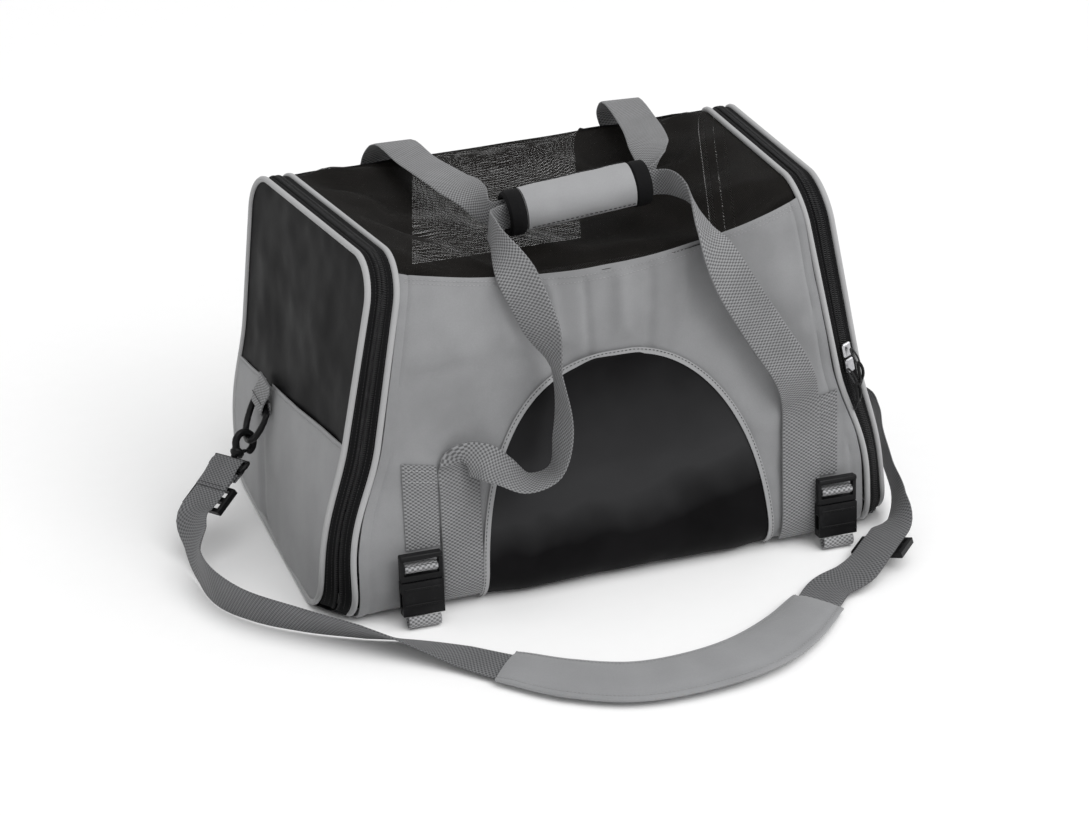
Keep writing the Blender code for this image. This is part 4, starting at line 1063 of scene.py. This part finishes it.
def build_handles():
    """Each handle is two half straps; a half starts at its sewn leg and ends in the grip."""
    right = Vector((1, 0, 0))
    wide = LEG_WIDTH
    under, over = 0.0022, 0.0040
    halves = {
        "front_left": leg_stations(LEG_X["left"], under) + [
            ((-0.1285, -0.1520, 0.1300), (0.80, -0.15, -0.58), 0.031),
            ((-0.1180, -0.1570, 0.1310), (0.28, -0.38, -0.88), 0.029),
            ((-0.1010, -0.1670, 0.1240), (-0.45, -0.77, -0.42), 0.031),
            ((-0.0830, -0.1760, 0.1140), (-0.33, -0.94, -0.05), 0.032),
            ((-0.0640, -0.1800, 0.1200), (-0.13, -0.98, 0.11), wide),
            ((-0.0540, -0.1760, 0.1490), (0.13, -0.96, 0.18), wide),
            ((-0.0535, -0.1650, 0.1920), (-0.08, -0.96, 0.22), wide),
            ((-0.0650, -0.1550, 0.2350), (0.70, -0.68, 0.15), wide),
            ((-0.0800, -0.1430, 0.2740), (0.76, -0.30, 0.30), 0.032),
            ((-0.0870, -0.1140, 0.2960), (0.20, -0.44, 0.84), 0.022),
        ],
        "front_right": leg_stations(LEG_X["right"], over) + [
            ((0.1510, -0.1540, 0.1600), (0.9, 0.0, 0.4), wide),
            ((0.1260, -0.1520, 0.2000), (0.82, 0.0, 0.5), wide),
            ((0.1000, -0.1500, 0.2430), (0.75, 0.1, 0.3), wide),
            ((0.0800, -0.1360, 0.2860), (0.65, 0.2, -0.5), wide),
            ((0.0740, -0.1010, 0.3100), (0.3, 0.2, -0.9), 0.025),
        ],
        "rear_left": leg_stations(LEG_X["left"], under, rear=True) + [
            ((-0.1200, 0.1475, 0.1900), right, wide),
            ((-0.1060, 0.1455, 0.2550), right, wide),
            ((-0.1040, 0.1400, 0.2760), right, wide),
            ((-0.1020, 0.1220, 0.2930), right, wide),
            ((-0.0960, 0.0560, 0.2990), (0.98, 0.15, 0.0), wide),
            ((-0.0870, 0.0000, 0.3010), (0.93, 0.30, 0.10), wide),
            ((-0.0800, -0.0360, 0.3010), (0.75, 0.1, 0.5), 0.026),
        ],
        "rear_right": leg_stations(LEG_X["right"], under, rear=True) + [
            ((0.1460, 0.1500, 0.1900), right, wide),
            ((0.1260, 0.1480, 0.2550), right, wide),
            ((0.1100, 0.1430, 0.2900), right, wide),
            ((0.1050, 0.1240, 0.3060), right, wide),
            ((0.0960, 0.0560, 0.3120), right, wide),
            ((0.0830, 0.0000, 0.3150), (0.95, -0.2, 0.1), wide),
            ((0.0720, -0.0360, 0.3130), (0.8, 0.0, 0.5), 0.026),
        ],
    }
    for word, stations in halves.items():
        front = word.startswith("front")
        end = GRIP_LEFT if word.endswith("left") else GRIP_RIGHT
        rise = -1.0 if word == "front_right" else 1.0
        stations += grip_stations(end, -1 if front else 1, rise)
        piece, _ = webbing(word + "_handle_strap", stations, "webbing", None)
        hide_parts("front_handle" if front else "rear_handle")
        start = Vector(stations[len(LEG_HEIGHTS) - 1][0])
        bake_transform(piece)


def grip_frame():
    along = (GRIP_RIGHT - GRIP_LEFT).normalized()
    depth = Vector((0, 1, 0))
    return along, depth, along.cross(depth)


def turned(name, profile, axes, material, seed, replaces=()):
    """A soft turned piece of the grip; profile lists (distance, radius) of its section."""
    along, depth, rise = axes
    sections = 40
    verts, faces, uvs = [], [], []
    for i, (distance, radius) in enumerate(profile):
        for k in range(sections):
            turn = 2 * math.pi * k / sections
            direction = depth * math.cos(turn) + rise * math.sin(turn)
            point = GRIP_LEFT + along * distance + direction * radius
            point += direction * ripple(point, 0.02, seed) * 0.0007
            verts.append(point)
            uvs.append((distance + i * 0.001, GRIP_RADIUS * turn))
    count = len(profile)
    for i in range(count):
        j = (i + 1) % count
        for k in range(sections):
            m = (k + 1) % sections
            faces.append((i * sections + k, i * sections + m, j * sections + m, j * sections + k))
    return add_piece(name, (verts, faces, uvs), material, "handle_grip", replaces)


def build_grip():
    axes = grip_frame()
    along, depth, rise = axes
    length = (GRIP_RIGHT - GRIP_LEFT).length
    inner = 0.0125
    outer = [(BINDING - 0.002 + (length - 2 * BINDING + 0.004) * k / 16,
              GRIP_RADIUS - 0.0010 * (abs(k - 8) == 8)) for k in range(17)]
    core = turned("grip_sleeve", [(BINDING, inner)] + outer + [(length - BINDING, inner)],
                  axes, "wrap_fabric", 2.0, ("grip_wrap",))
    for word, first in (("left", 0.0), ("right", length - BINDING)):
        profile = [(first, 0.0135), (first - 0.0006, 0.0160), (first + 0.0012, 0.0180),
                   (first + BINDING / 2, 0.0184), (first + BINDING - 0.001, 0.0182),
                   (first + BINDING, 0.0174), (first + BINDING, 0.0135)]
        turned("grip_binding_" + word, profile, axes, "black_binding", 4.0)
    start, end = math.radians(FLAP_START), math.radians(FLAP_END)

    def flap(a, b):
        turn = start + (end - start) * b
        centre = GRIP_LEFT + along * (BINDING + 0.001 + (length - 2 * BINDING - 0.002) * a)
        return centre + (depth * math.cos(turn) + rise * math.sin(turn)) * FLAP_RADIUS

    def flap_relief(a, b, point):
        return ripple(point, 0.018, 6.0) * 0.0006

    middle = (GRIP_LEFT + GRIP_RIGHT) / 2
    cloth("grip_flap_cloth", flap, 60, 40, "wrap_fabric", "grip_flap", 0.0, flap_relief, middle,
          replaces=("grip_flap",))
    for number, b in enumerate((0.06, 0.93)):
        path, normals = surface_line(flap, steps_between((0.02, b), (0.98, b), 60), 0.0006, middle)
        stitches("grip_flap_stitches_%d" % number, path, normals, "dark_thread", "grip_flap",
                 pitch=0.0040, length=0.0028, radius=0.00045)


# --------------------------------------------------------------- shoulder strap
STRAP_WIDTH = 0.036
STRAP_STEPS = 6


GLIDE_ACROSS = {"left": Vector((0.467, -0.873, 0.139)), "right": Vector((0.66, -0.70, 0.25))}
HOOK_ACROSS = {"left": GLIDE_ACROSS["left"], "right": Vector((0.35, 0.80, -0.30))}
HOOK_TO_STRAP = 0.0219


def band_axes(along, width):
    """Width direction and upward normal of a strap that runs along."""
    across = (width - along * width.dot(along)).normalized()
    normal = across.cross(along)
    if normal.z < 0:
        normal.negate()
    return across, normal


def glide_place(side):
    """Middle of an adjuster, the strap's direction, width direction and normal there."""
    low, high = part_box("strap_glide_" + side)
    along = joint_axis("glide_%s_slide" % side)
    return (low + high) / 2, along, *band_axes(along, GLIDE_ACROSS[side])


def over_glide(side, shifts):
    centre, along, across, normal = glide_place(side)
    turn = across if side == "left" else -across
    return [(centre + normal * 0.0048 + along * shift, turn, STRAP_WIDTH) for shift in shifts]


def strap_routes():
    wide = STRAP_WIDTH
    hook = joint_axis("hook_right_swivel")
    side_right = HOOK_ACROSS["right"]
    start = joint_at("hook_right_swivel") + hook * HOOK_TO_STRAP
    left = over_glide("left", (-0.024, -0.012, 0.0, 0.018)) + [
        ((-0.3150, -0.0220, 0.0270), (0.30, -0.75, 0.55), wide),
        ((-0.3195, -0.0530, 0.0200), (0.00, -0.25, 0.97), wide),
        ((-0.3160, -0.0880, 0.0190), (-0.10, 0.0, 0.99), wide),
        ((-0.2980, -0.1240, 0.0185), (-0.25, -0.15, 0.95), wide),
        ((-0.2640, -0.1580, 0.0175), (-0.30, -0.35, 0.90), wide),
        ((-0.2220, -0.1880, 0.0145), (-0.35, -0.55, 0.70), wide),
        ((-0.1840, -0.2110, 0.0090), (-0.40, -0.75, 0.35), wide),
        ((-0.1560, -0.2330, 0.0055), (-0.60, -0.70, 0.10), wide),
        ((-0.1330, -0.2560, 0.0050), (-0.70, -0.70, 0.0), wide),
        ((-0.0900, -0.2930, 0.0060), (-0.45, -0.90, 0.0), wide),
        ((-0.0480, -0.3140, 0.0066), (-0.20, -0.98, 0.0), wide),
    ]
    right = [
        (start, side_right, wide),
        (start + hook * 0.010, side_right, wide),
        ((0.2960, -0.0080, 0.0480), (0.28, 0.70, -0.62), wide),
        ((0.2900, -0.0380, 0.0430), (0.20, 0.45, -0.85), wide),
        ((0.2760, -0.0750, 0.0400), (0.15, 0.25, -0.95), wide),
        ((0.2660, -0.1150, 0.0300), (0.05, -0.10, -0.98), wide),
        ((0.2500, -0.1560, 0.0230), (-0.30, 0.20, -0.85), wide),
        *over_glide("right", (-0.018, 0.0, 0.018)),
        ((0.1800, -0.2230, 0.0085), (-0.62, 0.75, -0.05), wide),
        ((0.1560, -0.2310, 0.0058), (-0.68, 0.72, 0.0), wide),
        ((0.1350, -0.2510, 0.0056), (-0.66, 0.75, 0.0), wide),
        ((0.0960, -0.2850, 0.0066), (-0.50, 0.86, 0.0), wide),
        ((0.0560, -0.3080, 0.0072), (-0.28, 0.96, 0.0), wide),
    ]
    return {"left": left, "right": right}


def build_strap():
    for side, stations in strap_routes().items():
        piece, path = webbing("strap_webbing_" + side, stations, "strap_webbing", None,
                              STRAP_STEPS)
        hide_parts("shoulder_strap_" + side)
        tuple(stations[0][0])
        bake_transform(piece)


PAD_STATIONS = (
    ((-0.1300, -0.2590, 0.0060), (-0.60, -0.78, 0.0), 0.044),
    ((-0.0900, -0.2930, 0.0065), (-0.45, -0.90, 0.0), 0.052),
    ((-0.0480, -0.3140, 0.0070), (-0.20, -0.98, 0.0), 0.054),
    ((0.0050, -0.3180, 0.0080), (0.10, -1.0, 0.0), 0.053),
    ((0.0560, -0.3080, 0.0090), (0.28, -0.96, 0.0), 0.053),
    ((0.0960, -0.2850, 0.0080), (0.50, -0.86, 0.0), 0.050),
    ((0.1350, -0.2510, 0.0062), (0.66, -0.75, 0.0), 0.044),
)


PAD_BULK = 0.0052


def build_pad():
    """Padded sleeve on the strap: crowned, with flat sewn margins."""
    path = spline([p for p, _, _ in PAD_STATIONS], 10)
    sides = spline([s for _, s, _ in PAD_STATIONS], 10)
    widths = [v.x for v in spline([(w, 0, 0) for _, _, w in PAD_STATIONS], 10)]
    frames = strap_frames(path, sides)
    profile = ((-0.5, 0.10), (-0.49, 0.30), (-0.45, 0.42), (-0.40, 0.40), (-0.33, 0.78),
               (-0.22, 0.96), (0.0, 1.0), (0.22, 0.96), (0.33, 0.78), (0.40, 0.40),
               (0.45, 0.42), (0.49, 0.30), (0.5, 0.10))
    verts, faces, uvs = [], [], []
    ring = 2 * len(profile)
    run = 0.0
    for i, (point, (across, _)) in enumerate(zip(path, frames)):
        run += (path[i] - path[i - 1]).length if i else 0.0
        end = min(i, len(path) - 1 - i) / 3
        plump = PAD_BULK * (0.45 + 0.55 * min(end, 1.0) ** 0.5)
        for x, y in profile:
            crease = 0.0009 * math.sin(run * 150) * math.exp(-((run - 0.165) / 0.05) ** 2)
            lift = plump * y + (ripple(point + across * x * 0.05, 0.02, 3.0) * 0.0009
                                + crease) * (y > 0.5)
            verts.append(point + across * x * widths[i] + UP * lift)
            uvs.append((run, x * widths[i]))
        for x, y in reversed(profile):
            lift = min(PAD_BULK * y * 0.9, point.z - 0.0008)
            verts.append(point + across * x * widths[i] - UP * lift)
            uvs.append((run, x * widths[i]))
    count = len(path)
    for i in range(count - 1):
        for j in range(ring):
            m = (j + 1) % ring
            faces.append((i * ring + j, i * ring + m, (i + 1) * ring + m, (i + 1) * ring + j))
    faces.append(tuple(range(ring)))
    faces.append(tuple((count - 1) * ring + j for j in range(ring)))
    pad = add_piece("shoulder_pad_sleeve", (verts, faces, uvs), "pad_fabric", "bag",
                    ("shoulder_pad",), crisp=60)
    for word, share in (("outer", -0.43), ("inner", 0.43)):
        line = [p + f[0] * share * w + UP * 0.0023 for p, f, w in zip(path, frames, widths)]
        stitches("pad_stitches_" + word, line, [UP] * len(line), "thread", "bag", pitch=0.003)


# -------------------------------------------------------------------- hardware
BULK = {"hook_snap": 0.0014, "hook_gate": 0.0008, "hook_eye": 0.0008, "d_ring": 0.0012,
        "strap_glide": 0.0005}
ROUND_FAMILIES = ("hook_snap", "hook_gate", "d_ring")


def polish_cad_nodes():
    """CAD pieces that stay take their finish; mouldings get fuller and rounder edges."""
    for name, node in frame["nodes"].items():
        if node.hide_render:
            continue
        slot = node.data.materials[0].name.split(".")[0]
        family = name.rsplit("_", 1)[0]
        node.material_slots[0].link = "OBJECT"
        node.material_slots[0].material = MATERIALS[slot]
        joined = node.modifiers.new("joined", "WELD")
        joined.merge_threshold = 0.00002
        if family in ROUND_FAMILIES:
            rounder = node.modifiers.new("rounder", "SUBSURF")
            rounder.levels = 1
            rounder.render_levels = 1
        if family in BULK:
            fuller = node.modifiers.new("fuller", "DISPLACE")
            fuller.strength = BULK[family]
            fuller.mid_level = 0.0
        bevel = node.modifiers.new("softened", "BEVEL")
        bevel.width = 0.0004
        bevel.segments = 2
        bevel.limit_method = "ANGLE"
        bevel.angle_limit = math.radians(40)


# Rings of a pull as (part, start, end, half width, radius of its wire).
PULL_PARTS = (("cord", 0.0000, 0.0130, 0.0019, 0.0008), ("grip", 0.0110, 0.0270, 0.0021, 0.0013),
              ("tail", 0.0262, 0.0375, 0.0012, 0.0012))
PULL_LENGTH = 0.038
PULL_SWELL = 0.0085


def build_pull(side, word):
    """Cord loop through the slider and a moulded grip with an opening, ending in a tail."""
    name = "%s_%s" % (side, word)
    hinge = joint_at("pull_%s_swing" % name)
    low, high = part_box("pull_tab_" + name)
    foot = Vector(((low.x + high.x) / 2, (low.y + high.y) / 2, low.z))
    across = joint_axis("pull_%s_swing" % name)
    start_at = hinge + across * (foot - hinge).dot(across)
    down = (foot - start_at).normalized()
    out = down.cross(across)
    if out.dot(Vector((hinge.x, hinge.y, 0.0))) < 0:
        out.negate()
    for part, start, end, half, radius in PULL_PARTS:
        ring = []
        for k in range(20):
            turn = 2 * math.pi * k / 20
            along = (start + end) / 2 - math.cos(turn) * (end - start) / 2
            swell = math.sin(math.pi * min(along / PULL_LENGTH, 1.0)) * PULL_SWELL
            ring.append(start_at + down * along + across * math.sin(turn) * half
                        + out * (0.0004 + swell))
        shape = sweep(ring, carried_frames(ring, True), round_section(radius, 8), True)
        add_piece("pull_%s_%s" % (part, name), shape,
                  "zip_coil" if part == "cord" else "black_plastic", "pull_" + name,
                  ("pull_tab_" + name,))


BUCKLE_TILT = 0.11
SOCKET_TOP = 0.038
# Webbing through the plug and round the socket's foot, as (height, outward, width).
PLUG_WEAVE = ((0.0464, -0.0030, 0.0270), (0.0470, 0.0022, 0.0270), (0.0492, 0.0038, 0.0272),
              (0.0514, 0.0022, 0.0270), (0.0520, -0.0030, 0.0270))
FOOT_LOOP = ((0.0100, 0.0052, 0.0265), (0.0050, 0.0066, 0.0268), (0.0012, 0.0046, 0.0270),
             (0.0012, -0.0004, 0.0268), (0.0060, -0.0030, 0.0262))
SLANT = 0.006


def buckle_axes(side):
    """Origin at the buckle's foot, then its across, outward and up directions."""
    up = Vector((0.0, math.sin(BUCKLE_TILT), math.cos(BUCKLE_TILT)))
    across = Vector((1.0, 0.0, 0.0))
    roots = [joint_at("prong_%s_%s_flex" % (side, word)) for word in ("inner", "outer")]
    origin = (roots[0] + roots[1]) / 2 - up * SOCKET_TOP
    return origin, across, across.cross(up), up


def block(name, centre, axes, size, body):
    """A small moulded bar with rounded edges."""
    verts = []
    for i in (-0.5, 0.5):
        for j in (-0.5, 0.5):
            for k in (-0.5, 0.5):
                verts.append(centre + axes[0] * size[0] * i + axes[1] * size[1] * j
                             + axes[2] * size[2] * k)
    faces = [(0, 1, 3, 2), (4, 6, 7, 5), (0, 4, 5, 1), (2, 3, 7, 6), (0, 2, 6, 4), (1, 5, 7, 3)]
    uvs = [(v.x, v.z) for v in verts]
    piece = add_piece(name, (verts, faces, uvs), "black_plastic", body)
    bevel = piece.modifiers.new("rounded", "BEVEL")
    bevel.width = min(size) * 0.3
    bevel.segments = 3


def build_buckle_details(side):
    """Webbing threaded through the ladder, a rounded top bar, ribs and the anchor loop."""
    origin, across, out, up = buckle_axes(side)
    axes = (across, out, up)
    block("buckle_bar_" + side, origin + up * 0.0590 + out * 0.0005, axes,
          (0.0345, 0.0078, 0.0042), "plug_" + side)
    for number, height in enumerate((0.0195, 0.0330)):
        block("buckle_rib_%s_%d" % (side, number), origin + up * height + out * 0.0048, axes,
              (0.0300, 0.0012, 0.0016), "bag")
    for name, body, places, replaced in (
            ("buckle_weave_", "plug_" + side, PLUG_WEAVE, ()),
            ("buckle_loop_", "bag", FOOT_LOOP, ("buckle_tab_" + side,))):
        stations = [(origin + up * z + out * y, across, width) for z, y, width in places]
        webbing(name + side, stations, "pale_webbing_flat", body,
                replaces=replaced)
    low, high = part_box("buckle_strap_" + side)

    def sewn(a, b):
        """Up the wall, with the top end cut a little aslant."""
        top = high.z - SLANT * (a if side == "left" else 1.0 - a)
        return wall_point(low.x + (high.x - low.x) * a, low.z + (top - low.z) * b)

    def crown(a, b, point):
        return 0.0004 * math.sin(math.pi * a) ** 0.5

    verts, faces, uvs = cloth_grid(sewn, 12, 30, 0.0019, crown, thickness=0.0014)
    uvs = [(v, u) for u, v in uvs]
    add_piece("buckle_strap_cloth_" + side, (verts, faces, uvs), "webbing", "bag",
              ("buckle_strap_" + side,))
    for number, b in enumerate((0.93, 0.80)):
        path, normals = surface_line(sewn, steps_between((0.08, b), (0.92, b), 16), 0.0023)
        stitches("buckle_strap_stitches_%s_%d" % (side, number), path, normals, "thread", "bag",
                 pitch=0.0028, radius=0.0004)


TAB_WIDTH = 0.034
TAB_BEND = 0.0040


def build_ring_tab(side):
    """The folded webbing loop that holds the D-ring, sewn into the door's seam."""
    bar = joint_at("ring_%s_swing" % side)
    out = Vector((OUTWARD[side], 0.0, 0.0))
    across = Vector((0.0, 1.0, 0.0))
    places = [(-0.0042, 0.0230, 1.0), (-0.0032, 0.0160, 1.0), (0.0012, 0.0090, 0.98)]
    for k in range(9):
        turn = math.radians(25 - 210 * k / 8)
        places.append((math.cos(turn) * TAB_BEND, math.sin(turn) * TAB_BEND, 0.93))
    places.append((-0.0036, 0.0080, 0.97))
    stations = [(bar + out * x + UP * z, across, TAB_WIDTH * share) for x, z, share in places]
    webbing("ring_tab_loop_" + side, stations, "webbing", "door_" + side, 4, 0.0017,
            ("ring_tab_" + side,))
    row = [bar + out * 0.0034 + UP * 0.0078 + across * TAB_WIDTH * (k / 16 - 0.5)
           for k in range(1, 16)]
    stitches("ring_tab_stitches_" + side, row, [out] * len(row), "dark_thread", "door_" + side,
             pitch=0.0028, radius=0.0004)


EYE_TO_STRAP = 0.0045
# The strap's sewn fold round the eye, as (along, outward, slimmer by).
EYE_FOLD = ((0.0100, -0.0034, 0.001), (-0.0040, -0.0036, 0.001), (-0.0082, -0.0014, 0.001),
            (-0.0080, 0.0022, 0.001), (-0.0010, 0.0034, 0.001), (0.0110, 0.0018, 0.0),
            (0.0220, 0.0016, 0.0))
BARREL_RADIUS = 0.0048


def build_hook_details(side):
    """The strap's sewn fold round the eye, and the swivel barrel of the snap hook."""
    direction = joint_axis("hook_%s_swivel" % side)
    anchor = Vector(strap_routes()[side][0][0])
    if direction.dot(anchor - joint_at("hook_%s_swivel" % side)) < 0:
        direction.negate()
    across, normal = band_axes(direction, HOOK_ACROSS[side])
    bar = anchor - direction * EYE_TO_STRAP
    stations = [(bar + direction * x + normal * y, across, STRAP_WIDTH - slimmer)
                for x, y, slimmer in EYE_FOLD]
    webbing("strap_fold_" + side, stations, "strap_webbing", "door_" + side)
    row = [bar + direction * 0.0195 + normal * 0.0026 + across * STRAP_WIDTH * (k / 20 - 0.5)
           for k in range(1, 20)]
    stitches("fold_stitches_" + side, row, [normal] * len(row), "dark_thread", "door_" + side,
             pitch=0.0026)
    start = bar - direction * 0.0195
    path = [start + direction * 0.0012 * k for k in range(7)]
    radii = (0.0036, 0.0052, 0.0060, 0.0056, 0.0060, 0.0054, 0.0040)
    shape = sweep(path, carried_frames(path), round_section(BARREL_RADIUS, 20),
                  scale=[(r / BARREL_RADIUS, r / BARREL_RADIUS) for r in radii])
    add_piece("hook_barrel_" + side, shape, "black_plastic", "hook_" + side)


# ----------------------------------------------------------------------- stage
FLOOR_HALF = 6.0
FLOOR_LEVEL = -0.0004
SKY_STRENGTH = 0.60
SUN_POWER = 1.55
KEY_POWER = 7.0
LIGHT_AIM = Vector((0.0, 0.0, 0.12))


def add_light(data, place, power):
    data.energy = power
    light = bpy.data.objects.new(data.name, data)
    light.location = place
    light.rotation_euler = (LIGHT_AIM - Vector(place)).to_track_quat("-Z", "Y").to_euler()
    bpy.context.scene.collection.objects.link(light)


def build_stage():
    """A white floor under a broad soft sky and a nearer key light."""
    mesh = bpy.data.meshes.new("floor")
    corners = [(x * FLOOR_HALF, y * FLOOR_HALF, 0) for x, y in ((-1, -1), (1, -1), (1, 1), (-1, 1))]
    mesh.from_pydata(corners, [], [(0, 1, 2, 3)])
    floor = bpy.data.objects.new("floor", mesh)
    floor.location.z = FLOOR_LEVEL
    mesh.materials.append(floor_material())
    bpy.context.scene.collection.objects.link(floor)
    world = bpy.context.scene.world or bpy.data.worlds.new("studio")
    bpy.context.scene.world = world
    world.use_nodes = True
    background = world.node_tree.nodes["Background"]
    background.inputs["Color"].default_value = (1.0, 1.0, 1.0, 1.0)
    background.inputs["Strength"].default_value = SKY_STRENGTH
    sun = bpy.data.lights.new("sky_panel", "SUN")
    sun.angle = math.radians(60.0)
    add_light(sun, (0.5, -0.9, 2.2), SUN_POWER)
    key = bpy.data.lights.new("key", "AREA")
    key.size = 0.9
    add_light(key, (0.7, -1.5, 1.5), KEY_POWER)
    bpy.context.scene.view_settings.view_transform = "Standard"


make_camera()
build_strap()
build_pad()
build_front()
build_rear()
build_top()
build_pocket()
for side in SIDES:
    build_end_trim(side)
    build_door(side)
    build_buckle_details(side)
    build_hook_details(side)
    build_ring_tab(side)
    for word in ("upper", "lower"):
        build_pull(side, word)
build_base()
build_handles()
build_grip()
polish_cad_nodes()
build_stage()
